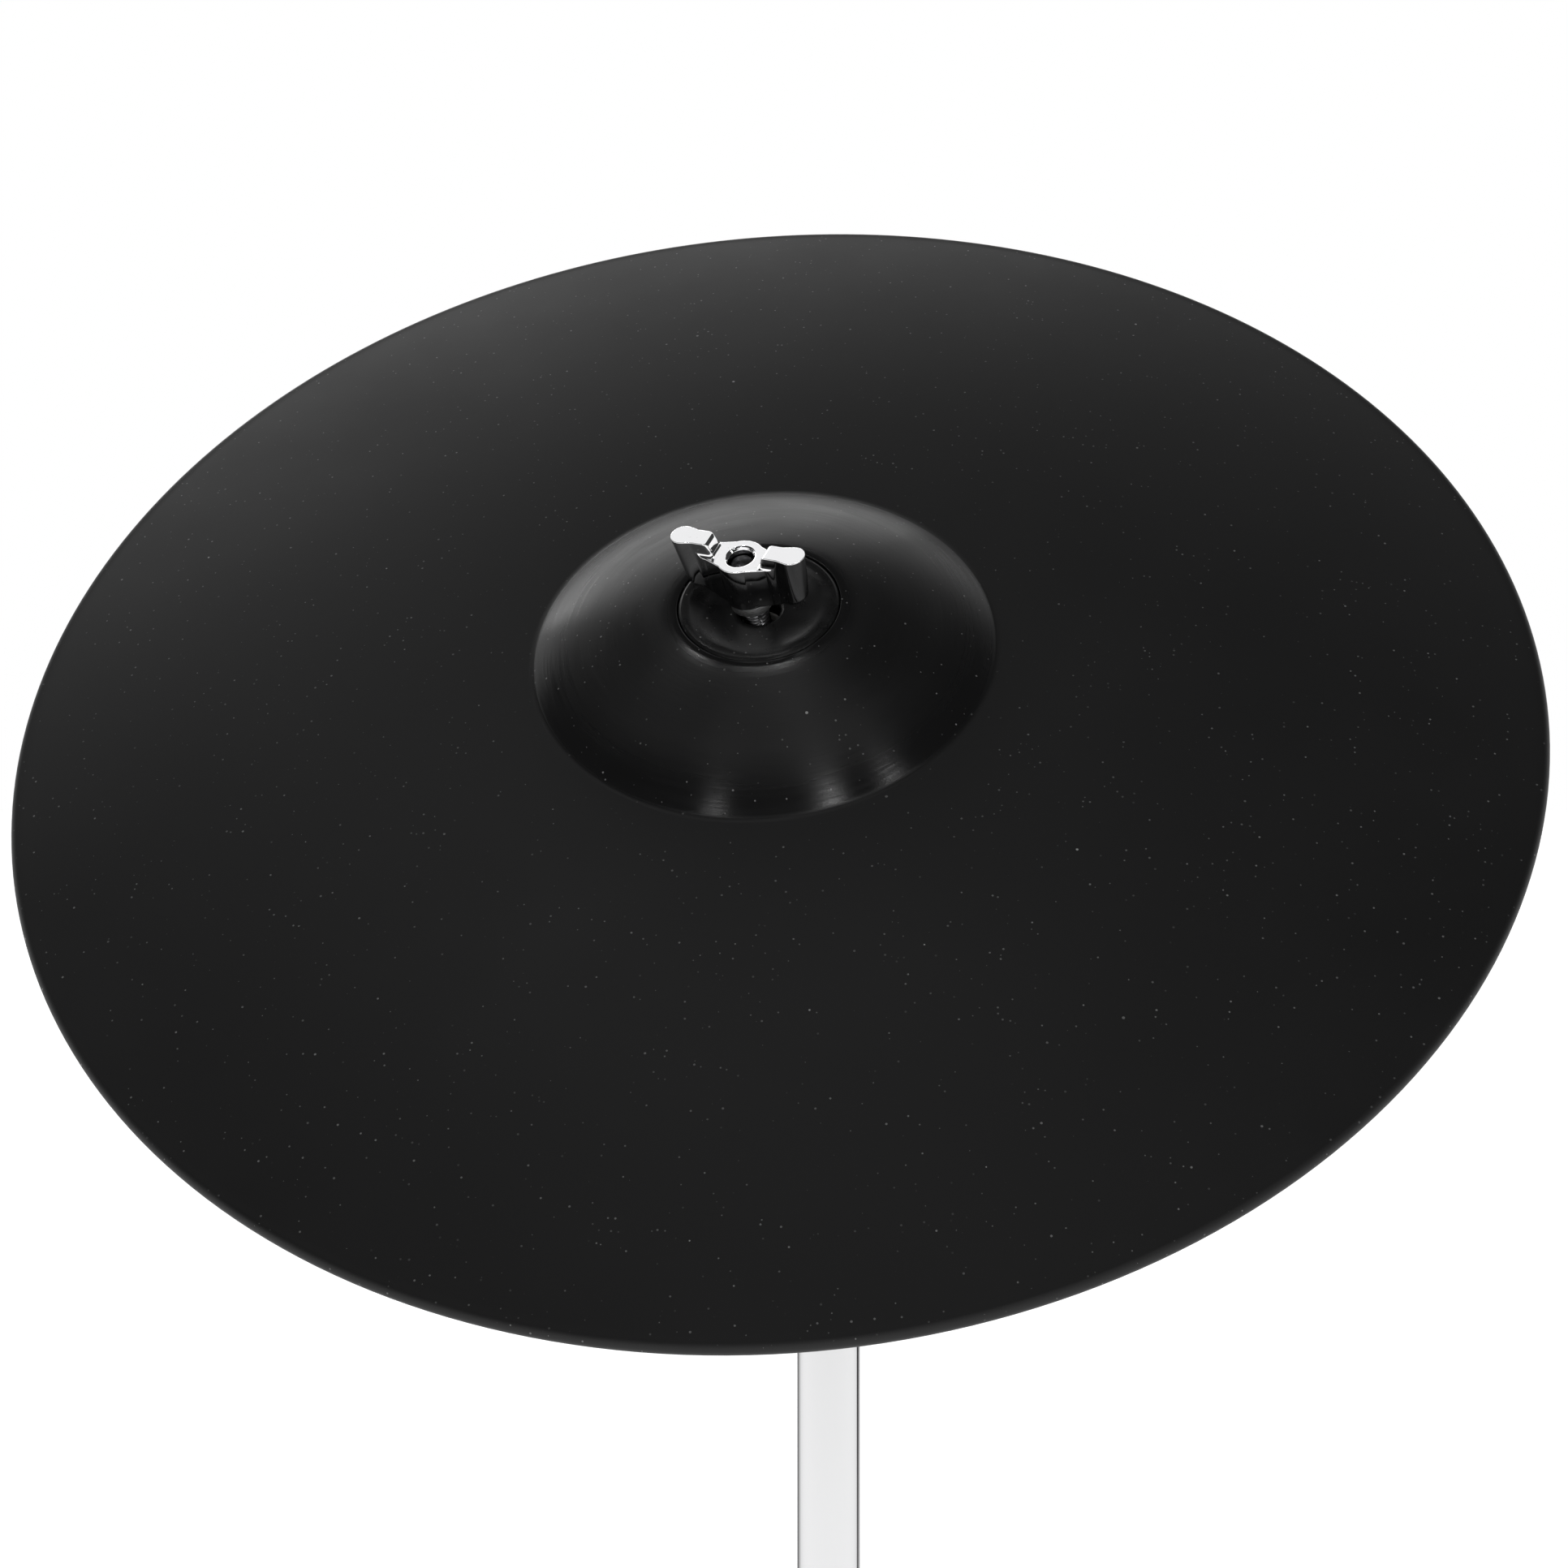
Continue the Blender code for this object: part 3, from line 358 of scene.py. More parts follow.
def cast_mesh(name, field, low, high, step):
    """Mesh the surface of a distance field: one point in each crossed cell, pulled onto the surface."""
    low = np.array(low, float)
    counts = np.ceil((np.array(high, float) - low) / step).astype(int) + 1
    lines = [low[k] + step * np.arange(counts[k]) for k in range(3)]
    inside = field(np.stack(np.meshgrid(*lines, indexing="ij"), -1)) < 0
    cells = counts - 1
    total = np.zeros(cells, int)
    for a, b, c in product((0, 1), repeat=3):
        total += inside[a:a + cells[0], b:b + cells[1], c:c + cells[2]]
    crossed = (total > 0) & (total < 8)
    index = np.full(cells, -1)
    index[crossed] = np.arange(crossed.sum())
    quads = []
    for axis in range(3):
        order = [axis] + [k for k in range(3) if k != axis]
        sides = inside.transpose(order)
        places = index.transpose(order)
        here = sides[:-1, 1:-1, 1:-1]
        change = here != sides[1:, 1:-1, 1:-1]
        around = [places[:, 1:, 1:], places[:, :-1, 1:], places[:, :-1, :-1], places[:, 1:, :-1]]
        quad = np.stack([block[change] for block in around], -1)
        # The order (1, 0, 2) is a mirror image of the other two, so its faces turn the other way.
        flip = here[change] if axis == 1 else ~here[change]
        quad[flip] = quad[flip][:, ::-1]
        quads.append(quad)
    quads = np.concatenate(quads)
    reach = 0.2 * step
    points = pull(field, low + step * (np.argwhere(crossed) + 0.5), reach, rounds=3)
    for _ in range(4):
        sums = np.zeros_like(points)
        seen = np.zeros(len(points))
        for k, m in product(range(4), (1, 3)):
            np.add.at(sums, quads[:, k], points[quads[:, (k + m) % 4]])
            np.add.at(seen, quads[:, k], 1)
        points = pull(field, 0.5 * points + 0.5 * sums / seen[:, None], reach, rounds=2)
    mesh = make_mesh(name, points, quads.tolist(), sharp=False)
    normals = gradient(field, points, 0.25 * step)
    normals /= np.linalg.norm(normals, axis=-1)[:, None]
    mesh.normals_split_custom_set_from_vertices(normals.tolist())
    return mesh


def cast(name, field, low, high, step, matrix, look, body, node):
    """A cast piece."""
    settle(name, cast_mesh(name, field, low, high, step), matrix, look, body, node)


# ---- materials

LOOKS = {}  # filled in by Look


class Nodes:
    """A node tree, with short ways to add to it."""

    def __init__(self, tree):
        self.tree = tree

    def node(self, kind, **settings):
        """A node with some of its settings."""
        made = self.tree.nodes.new(kind)
        for key, value in settings.items():
            setattr(made, key, value)
        return made

    def join(self, source, target):
        """Link a socket to another, or set a plain value."""
        if isinstance(source, bpy.types.NodeSocket):
            self.tree.links.new(source, target)
        else:
            target.default_value = source

    def filled(self, made, *values):
        """A node with its first inputs filled in."""
        for value, target in zip(values, made.inputs):
            self.join(value, target)
        return made

    def maths(self, operation, *values):
        """One arithmetic step."""
        return self.filled(self.node("ShaderNodeMath", operation=operation), *values).outputs[0]

    def times(self, *values):
        """The product of two values."""
        return self.maths("MULTIPLY", *values)

    def plus(self, *values):
        """The sum of two values."""
        return self.maths("ADD", *values)

    def between(self, value, low, high, to_low, to_high, interpolation="LINEAR"):
        """Map one range to another, with a limit at both ends."""
        made = self.node("ShaderNodeMapRange", clamp=True, interpolation_type=interpolation)
        return self.filled(made, value, low, high, to_low, to_high).outputs[0]

    def vectors(self, operation, *values):
        """One step of vector arithmetic."""
        return self.filled(self.node("ShaderNodeVectorMath", operation=operation), *values)

    def moved(self, vector, kind, start, stop):
        """A direction carried from one space to another."""
        made = self.node("ShaderNodeVectorTransform", vector_type=kind, convert_from=start, convert_to=stop)
        return self.filled(made, vector).outputs[0]


class Look(Nodes):
    """A procedural material, built from a few named recipes."""

    def __init__(self, name, colour, roughness, metallic=0.0, own_place=True, **inputs):
        material = bpy.data.materials.new(name)
        material.use_nodes = True
        super().__init__(material.node_tree)
        LOOKS[name] = material
        self.inputs = self.tree.nodes["Principled BSDF"].inputs
        self.inputs["Base Color"].default_value = (*colour, 1.0)
        self.inputs["Roughness"].default_value = roughness
        self.inputs["Metallic"].default_value = metallic
        for key, value in inputs.items():
            self.inputs[key.replace("_", " ")].default_value = value
        if own_place:
            self.place = self.node("ShaderNodeAttribute", attribute_name="place").outputs["Vector"]
        else:
            self.place = self.node("ShaderNodeTexCoord").outputs["Object"]

    def stretched(self, scale):
        """Coordinates stretched along the piece's own axes."""
        made = self.filled(self.node("ShaderNodeMapping"), self.place)
        made.inputs["Scale"].default_value = scale
        return made.outputs[0]

    def texture(self, kind, size, vector=None, **settings):
        """A texture whose features are about this many millimetres across."""
        made = self.filled(self.node(kind, **settings), vector or self.place)
        made.inputs["Scale"].default_value = 1.0 / (size * MM)
        return made

    def noise(self, size, detail=4.0, rough=0.55, vector=None):
        """Cloudy noise."""
        made = self.texture("ShaderNodeTexNoise", size, vector)
        made.inputs["Detail"].default_value = detail
        made.inputs["Roughness"].default_value = rough
        return made.outputs["Fac"]

    def cells(self, size, feature="F1", randomness=1.0):
        """Scattered points, with the distance to the nearest."""
        made = self.texture("ShaderNodeTexVoronoi", size, feature=feature)
        made.inputs["Randomness"].default_value = randomness
        return made

    def across_and_ahead(self):
        """The first two coordinates of the place: to the side and away from the player."""
        return self.filled(self.node("ShaderNodeSeparateXYZ"), self.place).outputs[:2]

    def from_axis(self):
        """Distance from the piece's axis, in metres."""
        x, y = self.across_and_ahead()
        return self.maths("SQRT", self.plus(self.times(x, x), self.times(y, y)))

    def rings(self, size, detail=3.0, breaks=2.0):
        """Uneven fine rings about the piece's axis. More breaks make the rings shorter."""
        away = self.from_axis()
        turn = [self.times(self.maths("DIVIDE", part, away), breaks) for part in self.across_and_ahead()]
        spot = self.filled(self.node("ShaderNodeCombineXYZ"), self.times(away, 1.0 / (size * MM)), *turn)
        return self.noise(1 / MM, detail, 0.5, spot.outputs[0])

    def towards_player(self):
        """Full on the piece's near half, faint on its far half."""
        half_band = 50 * MM
        return self.between(self.across_and_ahead()[1], half_band, -half_band, 0.1, 1.0)

    def edge(self, start, stop):
        """How far the surface turns away from the eye, from 0 to 1."""
        return self.between(self.node("ShaderNodeLayerWeight").outputs["Facing"], start, stop, 0.0, 1.0)

    def normal(self):
        """Direction of the surface, in the world."""
        return self.node("ShaderNodeNewGeometry").outputs["Normal"]

    def facing(self, axis):
        """How far the surface turns towards a direction, from -1 to 1."""
        own_normal = self.moved(self.normal(), "NORMAL", "WORLD", "OBJECT")
        return self.vectors("DOT_PRODUCT", own_normal, axis).outputs["Value"]

    def tint(self, factor, colour):
        """Blend the colour towards another one."""
        made = self.node("ShaderNodeMix", data_type="RGBA")
        self.join(factor, made.inputs["Factor"])
        base = self.inputs["Base Color"]
        self.join(base.links[0].from_socket if base.is_linked else base.default_value, made.inputs["A"])
        made.inputs["B"].default_value = (*colour, 1.0)
        self.join(made.outputs["Result"], base)

    def patches(self, pattern, low, high, amount, colour):
        """Blend towards a colour where a pattern is high."""
        self.tint(self.between(pattern, low, high, 0.0, amount), colour)

    def rough(self, pattern, low, high):
        """Let the roughness follow a pattern, over the middle of the pattern's range."""
        self.join(self.between(pattern, 0.3, 0.7, low, high), self.inputs["Roughness"])

    def bump(self, height, depth):
        """Add a relief, its depth in millimetres."""
        made = self.node("ShaderNodeBump")
        made.inputs["Distance"].default_value = depth * MM
        made.inputs["Strength"].default_value = 1.0
        self.join(height, made.inputs["Height"])
        normal = self.inputs["Normal"]
        if normal.is_linked:
            self.join(normal.links[0].from_socket, made.inputs["Normal"])
        self.join(made.outputs[0], normal)

    def dust(self, spacing, size, share, shade):
        """Pale specks on a share of scattered points."""
        found = self.cells(spacing)
        dice = self.filled(self.node("ShaderNodeSeparateColor"), found.outputs["Color"]).outputs
        kept = self.maths("LESS_THAN", dice[0], share)
        near = self.maths("LESS_THAN", found.outputs["Distance"], self.times(dice[1], size / spacing))
        self.tint(self.times(self.times(kept, near), dice[2]), (shade, shade, shade))

    def brushed(self, amount, axis, centre):
        """Stretch the highlights across the marks that a lathe leaves round an axis."""
        outward = self.vectors("SUBTRACT", self.node("ShaderNodeTexCoord").outputs["Object"], centre)
        along = self.vectors("CROSS_PRODUCT", axis, outward.outputs[0])
        world_along = self.moved(along.outputs[0], "VECTOR", "OBJECT", "WORLD")
        across = self.vectors("CROSS_PRODUCT", world_along, self.normal())
        self.join(across.outputs[0], self.inputs["Tangent"])
        self.join(amount, self.inputs["Anisotropic"])


def skin_rubber():
    """Matte black rubber: fine grain, faint lathe rings on the bell, a smoother near side, stray dust."""
    look = Look("skin_rubber", (0.0072, 0.0072, 0.0074), 0.5, Specular_IOR_Level=0.36)
    away = look.from_axis()
    on_bell = look.between(away, (BELL_RADIUS + 1.0) * MM, (BELL_RADIUS - 1.0) * MM, 0.0, 1.0)
    near_side = look.towards_player()
    grooves = look.times(look.rings(1.0, 2.0, 4.0), look.times(on_bell, near_side))
    smudge = look.noise(60.0, 5.0, 0.6)
    look.patches(smudge, 0.45, 0.75, 0.35, (0.0095, 0.0095, 0.0098))
    look.dust(1.7, 0.34, 0.4, 0.2)
    look.dust(9.0, 0.5, 0.35, 0.4)
    lip = look.between(away, (SKIN_START + 1.5) * MM, (SKIN_START + 6.0) * MM, -0.29, 0.0)
    foot = look.between(away, (BELL_RADIUS - 18.0) * MM, (BELL_RADIUS - 5.0) * MM, 0.0, -0.23)
    smooth = look.between(near_side, 0.1, 1.0, -0.2, -0.08)
    bell = look.times(on_bell, look.plus(look.times(foot, near_side), smooth))
    bell = look.plus(bell, look.times(lip, near_side))
    uneven = look.between(look.rings(0.9, 2.0, 2.0), 0.35, 0.65, -0.02, 0.02)
    base = look.between(smudge, 0.3, 0.7, 0.47, 0.55)
    total = look.plus(look.plus(base, bell), look.times(uneven, on_bell))
    look.join(total, look.inputs["Roughness"])
    look.bump(look.noise(0.35, 2.0), 0.012)
    look.bump(grooves, 0.045)
    lathe_marks = look.between(away, (SKIN_START + 3.0) * MM, (SKIN_START + 12.0) * MM, 0.1, 0.7)
    look.brushed(look.times(on_bell, lathe_marks), SPIN_AXIS, SEAT_POINT)


def cap_plastic():
    """Satin black plastic with a light lathe grain and dust caught on its raised edge."""
    look = Look("cap_plastic", (0.0075, 0.0075, 0.0077), 0.28, Specular_IOR_Level=0.24)
    cloudy = look.noise(6.0, 5.0, 0.65)
    look.patches(cloudy, 0.45, 0.75, 0.5, (0.014, 0.014, 0.0142))
    edge = look.between(look.from_axis(), (CAP_RADIUS - 5.05) * MM, (CAP_RADIUS - 1.05) * MM, 0.0, 1.0)
    fluff = look.between(look.noise(0.5, 3.0, 0.7), 0.55, 0.7, 0.0, 0.5)
    look.tint(look.times(fluff, edge), (0.05, 0.05, 0.05))
    look.dust(1.6, 0.32, 0.4, 0.3)
    look.rough(cloudy, 0.25, 0.33)
    look.bump(look.noise(0.6, 3.0), 0.012)
    look.bump(look.rings(0.7), 0.006)


def mirror_chrome():
    """Polished chrome over a casting, with painted shade darkening its sides: hairline scratches, a little
    haze.
    """
    look = Look("nut_chrome", (0.93, 0.93, 0.94), 0.04, 1.0)
    # Painted shade: faces turned away from the post's axis get a darker base colour.
    look.tint(look.between(look.facing(POST_AXIS), 0.35, 0.05, 0.0, 1.0), (0.55, 0.55, 0.555))
    look.rough(look.noise(5.0, 4.0, 0.6), 0.03, 0.08)
    look.bump(look.noise(4.5, 2.0), 0.003)
    look.bump(look.noise(0.25, 2.0, 0.5, look.stretched((0.12, 1.0, 0.5))), 0.0006)
    look.patches(look.noise(0.8, 3.0, 0.7), 0.66, 0.74, 0.5, (0.45, 0.44, 0.42))


def tilter_chrome():
    """Chromed casting with a slight orange peel."""
    look = Look("tilter_chrome", (0.84, 0.84, 0.86), 0.12, 1.0)
    look.rough(look.noise(4.0, 4.0), 0.07, 0.2)
    look.bump(look.noise(1.2, 2.0), 0.012)
    look.patches(look.noise(1.0, 4.0, 0.7), 0.64, 0.76, 0.7, (0.35, 0.34, 0.33))


def brushed_insert():
    """Turned steel."""
    look = Look("brushed_insert", (0.62, 0.62, 0.62), 0.3, 1.0)
    lines = look.noise(0.22, 3.0, 0.6, look.stretched((0.1, 0.1, 1.0)))
    look.rough(lines, 0.24, 0.36)
    look.bump(lines, 0.002)
    look.brushed(0.5, POST_AXIS, PIVOT)


def tube_chrome():
    """Bright tube, drawn along its length, with faint streaks, grey smudges and a painted dark reflection
    along its edges.
    """
    look = Look("tube_chrome", (0.8, 0.8, 0.805), 0.3, 1.0, Specular_Tint=(0.2, 0.2, 0.2, 1.0))
    streaks = look.noise(1.6, 3.0, 0.55, look.stretched((1.0, 1.0, 0.03)))
    smudge = look.noise(16.0, 4.0, 0.5, look.stretched((1.0, 1.0, 0.45)))
    look.patches(streaks, 0.35, 0.7, 0.6, (0.7, 0.7, 0.705))
    look.patches(smudge, 0.58, 0.72, 0.5, (0.55, 0.55, 0.555))
    # Painted reflection: the base colour darkens where the surface turns away from the eye, for the tube's
    # dark edges.
    look.tint(look.edge(0.55, 0.96), (0.12, 0.12, 0.12))
    look.rough(streaks, 0.24, 0.36)
    look.bump(look.noise(0.4, 2.0, 0.5, look.stretched((1.0, 1.0, 0.02))), 0.004)


def post_steel():
    """Thread with worn crests, its colour darkened as painted shade for the wing nut's hole and the gap below
    the insert, with darker patches of grime and painted shade.
    """
    # Painted shade: the dark base colour stands for the shade in the wing nut's hole and under its insert.
    look = Look("post_steel", (0.14, 0.14, 0.145), 0.34, 1.0)
    grime_and_shade = look.noise(1.4, 4.0, 0.65)
    # Darker patches: partly grime, partly painted shade that deepens the post's dark colour.
    look.patches(grime_and_shade, 0.4, 0.65, 0.85, (0.02, 0.019, 0.018))
    crest = POST_RADIUS * MM
    look.patches(look.from_axis(), crest - 0.15 * MM, crest - 0.01 * MM, 0.4, (0.4, 0.4, 0.41))
    look.rough(grime_and_shade, 0.2, 0.45)
    look.bump(look.noise(0.3, 2.0), 0.01)


def zinc_steel():
    """Bright zinc with a cloudy passivated bloom."""
    look = Look("zinc_steel", (0.68, 0.68, 0.67), 0.28, 1.0)
    bloom = look.noise(3.0, 5.0, 0.6)
    look.patches(bloom, 0.4, 0.7, 0.6, (0.55, 0.56, 0.58))
    look.rough(bloom, 0.2, 0.4)
    look.bump(look.rings(0.3), 0.004)
    look.bump(look.noise(0.5, 3.0), 0.006)


def moulded(name, colour, roughness, grain, depth, pale=1.8, own_place=True):
    """Moulded plastic with a spark-eroded grain and rubbed patches."""
    look = Look(name, colour, roughness, own_place=own_place)
    patch = look.noise(22.0, 4.0)
    look.patches(patch, 0.45, 0.75, 0.5, tuple(pale * part for part in colour))
    look.bump(look.cells(grain).outputs["Distance"], depth)
    look.bump(look.noise(grain * 0.4, 3.0), depth * 0.5)
    look.rough(patch, roughness - 0.07, roughness + 0.08)
    look.dust(9.0, 0.3, 0.25, 0.25)


def wool_felt():
    """Pressed wool felt: matted fibres over clumps."""
    look = Look("felt", (0.022, 0.022, 0.023), 1.0, Specular_IOR_Level=0.1, Sheen_Weight=0.5)
    fibres = look.noise(0.35, 6.0, 0.75, look.stretched((1.0, 1.0, 2.5)))
    look.patches(fibres, 0.5, 0.72, 0.8, (0.075, 0.075, 0.078))
    look.bump(look.noise(2.0, 4.0, 0.6), 0.2)
    look.bump(fibres, 0.12)


def damping_foam():
    """Open-cell foam, painted darker in the middle of each cell as shade in its pores."""
    look = Look("damping_foam", (0.03, 0.03, 0.032), 0.95, own_place=False, Specular_IOR_Level=0.15)
    holes = look.cells(0.9, "SMOOTH_F1").outputs["Distance"]
    # Painted shade: lighter on the cell walls, darker in the pores.
    look.patches(holes, 0.2, 0.6, 0.7, (0.075, 0.075, 0.08))
    look.bump(holes, 0.25)
    look.bump(look.noise(3.0), 0.1)


def switch_film():
    """Printed switch film with faint conductive tracks."""
    look = Look("switch_film", (0.33, 0.31, 0.25), 0.35, own_place=False)
    wave = look.texture("ShaderNodeTexWave", 1 / 0.13, wave_type="RINGS", rings_direction="Z").outputs["Fac"]
    look.patches(wave, 0.7, 0.8, 0.8, (0.09, 0.085, 0.08))
    look.rough(look.noise(4.0), 0.3, 0.45)
    look.bump(wave, 0.02)


def board_laminate():
    """Solder-resist green with tracks and pads."""
    look = Look("board_laminate", (0.012, 0.09, 0.035), 0.35, own_place=False)
    tracks = look.cells(3.0, "DISTANCE_TO_EDGE").outputs["Distance"]
    look.tint(look.between(tracks, 0.04, 0.06, 0.6, 0.0), (0.03, 0.19, 0.08))
    pads = look.cells(2.4, randomness=0.2).outputs["Distance"]
    look.tint(look.between(pads, 0.16, 0.2, 1.0, 0.0), (0.6, 0.55, 0.42))
    look.bump(tracks, 0.03)
    look.rough(look.noise(3.0), 0.28, 0.42)


def pickup_brass():
    """Thin brass with fingerprints."""
    look = Look("pickup_brass", (0.72, 0.5, 0.2), 0.25, 1.0, own_place=False)
    prints = look.noise(2.5, 5.0, 0.7)
    look.patches(prints, 0.45, 0.7, 0.6, (0.42, 0.28, 0.12))
    look.rough(prints, 0.2, 0.42)
    look.bump(look.rings(0.4), 0.004)


def friction_fibre():
    """Pressed brown fibre."""
    look = Look("friction_fibre", (0.13, 0.055, 0.03), 0.75)
    flecks = look.noise(0.6, 5.0, 0.7, look.stretched((1.0, 3.0, 1.0)))
    look.patches(flecks, 0.5, 0.7, 0.8, (0.22, 0.12, 0.07))
    look.rough(flecks, 0.65, 0.85)
    look.bump(flecks, 0.03)


def black_screw():
    """Black zinc with bright worn edges."""
    look = Look("black_screw", (0.05, 0.05, 0.052), 0.35, 1.0)
    wear = look.noise(0.8, 4.0, 0.7)
    look.patches(wear, 0.58, 0.7, 0.8, (0.3, 0.3, 0.3))
    look.rough(wear, 0.28, 0.45)
    look.bump(look.noise(0.4), 0.01)


for make_look in (skin_rubber, cap_plastic, mirror_chrome, tilter_chrome, brushed_insert, tube_chrome,
                  post_steel, zinc_steel, wool_felt, damping_foam, switch_film, board_laminate,
                  pickup_brass, friction_fibre, black_screw):
    make_look()
moulded("core_resin", (0.045, 0.045, 0.04), 0.55, 1.2, 0.03, own_place=False)
moulded("cover_plastic", (0.012, 0.012, 0.0125), 0.42, 0.9, 0.05)
moulded("black_nylon", (0.014, 0.014, 0.0145), 0.42, 0.5, 0.012)
moulded("plug_rubber", (0.012, 0.012, 0.012), 0.62, 0.5, 0.02)
moulded("lead_insulation", (0.03, 0.03, 0.034), 0.45, 0.5, 0.01, own_place=False)
moulded("acetal", (0.6, 0.6, 0.57), 0.38, 0.6, 0.01, 1.12)


# ---- the cymbal

def surface_height(radius):
    """Height of the playing surface: a spherical bell, then a gently falling bow."""
    if radius < BELL_RADIUS:
        return BELL_CENTRE + math.sqrt(BELL_SPHERE**2 - radius**2)
    run = radius - BELL_RADIUS
    return BELL_FOOT_HEIGHT - BOW_START_SLOPE * run - BOW_CURVE * run**2


def surface_points(start, stop, depth, spacing=2.0):
    """Points at one depth below the playing surface, with one on the crease at the foot of the bell."""
    count = max(2, round(abs(stop - start) / spacing))
    radii = [start + (stop - start) * i / count for i in range(count + 1)]
    if min(start, stop) < BELL_RADIUS < max(start, stop):
        radii.append(BELL_RADIUS)
        radii.sort(reverse=stop < start)
    return [(radius, surface_height(radius) - depth) for radius in radii]


def make_playing_surface():
    """Rubber skin: rounded lip at the cap, crease at the bell, rolled rim, pockets for the sensors below."""
    rim_steps = 16
    lip = 0.3
    lip_rise = 0.1
    lip_top = surface_height(SKIN_START) - lip - lip_rise
    bell_in, bell_out = BELL_POCKET
    edge_in, edge_out = EDGE_POCKET
    profile = [(SKIN_START, lip_top + lip + lip_rise - SKIN_DEPTH), (SKIN_START, lip_top)]
    for angle in (0.4, 0.8, 1.2):
        profile.append((SKIN_START + lip * (1 - math.cos(angle)), lip_top + lip * math.sin(angle)))
    profile += surface_points(SKIN_START + lip + lip_rise, BOW_END, 0)
    for i in range(1, rim_steps + 1):
        angle = math.pi * i / rim_steps
        profile.append((BOW_END + RIM_ROUND * math.sin(angle), RIM_HALF_DEPTH * math.cos(angle)))
    profile.append((LIP_START, surface_height(LIP_START) - SHEET_BOTTOM))
    profile += surface_points(LIP_START, edge_out, SHEET_TOP)
    profile += surface_points(edge_out, edge_in, POCKET_DEPTH)
    profile += surface_points(edge_in, bell_out, SKIN_DEPTH, spacing=6.0)
    profile += surface_points(bell_out, bell_in, POCKET_DEPTH, spacing=4.0)
    profile += surface_points(bell_in, SKIN_START + 1, SKIN_DEPTH, spacing=4.0)
    turned("skin", profile, CYMBAL, "skin_rubber", "cymbal", "playing_surface", None, FINE_STEPS)


def make_bell_cap():
    """Cap: dished face with a hole, raised outer ring, and a stepped neck below."""
    crown = surface_height(CAP_RADIUS)
    dish_start, dish_stop = 7.3, 19.8
    dish_floor = 36.95
    underside = 33.0
    neck, socket, hole = 11.0, 7.9, 6.4
    neck_end, socket_end, hole_end = 24.6, 29.5, 36.3
    profile = []
    for step in range(11):
        part = step / 10
        radius = dish_start + (dish_stop - dish_start) * part
        profile.append((radius, dish_floor + (crown - dish_floor) * part**2))
    profile += [(20.9, crown + 0.17), (21.8, crown + 0.16), (22.7, crown)]
    profile += [(CAP_RADIUS, crown - 0.5), (CAP_RADIUS, underside), (neck, underside), (neck, neck_end)]
    profile += [(socket, neck_end), (socket, socket_end), (hole, socket_end), (hole, hole_end)]
    turned("cap", profile, CYMBAL, "cap_plastic", "cymbal", "bell_cap", 0.35, FINE_STEPS)


def make_ring_nut():
    """Ring nut with spanner notches."""
    inner, outer = 11.3, 16.5
    notch_count, notch_depth, notch_edge = 8, 1.6, 0.86

    def notches(radius, height, angles):
        depth = notch_depth if radius > 0.5 * (inner + outer) else 0.0
        return -depth * (np.cos(notch_count * angles) > notch_edge)
    turned("ring_nut", tube(inner, outer, 26.4, 30.4), CYMBAL, "black_nylon", "cymbal", "cap_ring_nut", 0.4,
           FINE_STEPS, notches)


def make_bush():
    """Acetal bush: neck in the cap, coned flange on the felt."""
    bore, neck, flange = 6.3, 7.6, 14.0
    flange_top, neck_top = 24.2, 29.1
    profile = [(neck, flange_top), (flange, flange_top), (flange, 22.8), (bore, 21.8), (bore, neck_top),
               (neck, neck_top)]
    turned("bush", profile, CYMBAL, "acetal", "rocker", "centre_bush")


def make_bottom_cover():
    """Cover below the bow: hemmed edge, two moulded ring beads and forty-eight shallow ribs."""
    start, stop = COVER_SPAN
    beads = (96.0, 198.0)
    bead_gap = 3.0
    rib_height = 0.5
    count = 200

    def below(radius):
        bead = sum(0.7 * math.exp(-((radius - spot) / 1.6) ** 2) for spot in beads)
        hem = 0.5 * math.exp(-((radius - stop + 1.5) / 1.2) ** 2)
        return surface_height(radius) - COVER_BOTTOM - bead - hem

    profile = surface_points(start, stop, COVER_TOP, spacing=3.0)
    for i in range(count + 1):
        radius = stop - (stop - start) * i / count
        profile.append((radius, below(radius)))
    mesh = turned_mesh("cover", profile, RIBBED_STEPS)
    places = points_of(mesh) / MM
    away, angle = polar(places)
    is_below = np.array([z < surface_height(r) - COVER_BOTTOM + 0.2 for r, z in zip(away, places[:, 2])])
    span = span_mask(away, beads[0] + bead_gap, beads[1] - bead_gap, 4.0)
    places[:, 2] -= rib_height * teeth(angle, 48, 1.5, 0.5) * span * is_below
    move_points(mesh, places)
    settle("cover", mesh, CYMBAL, "cover_plastic", "cymbal", "bottom_cover")


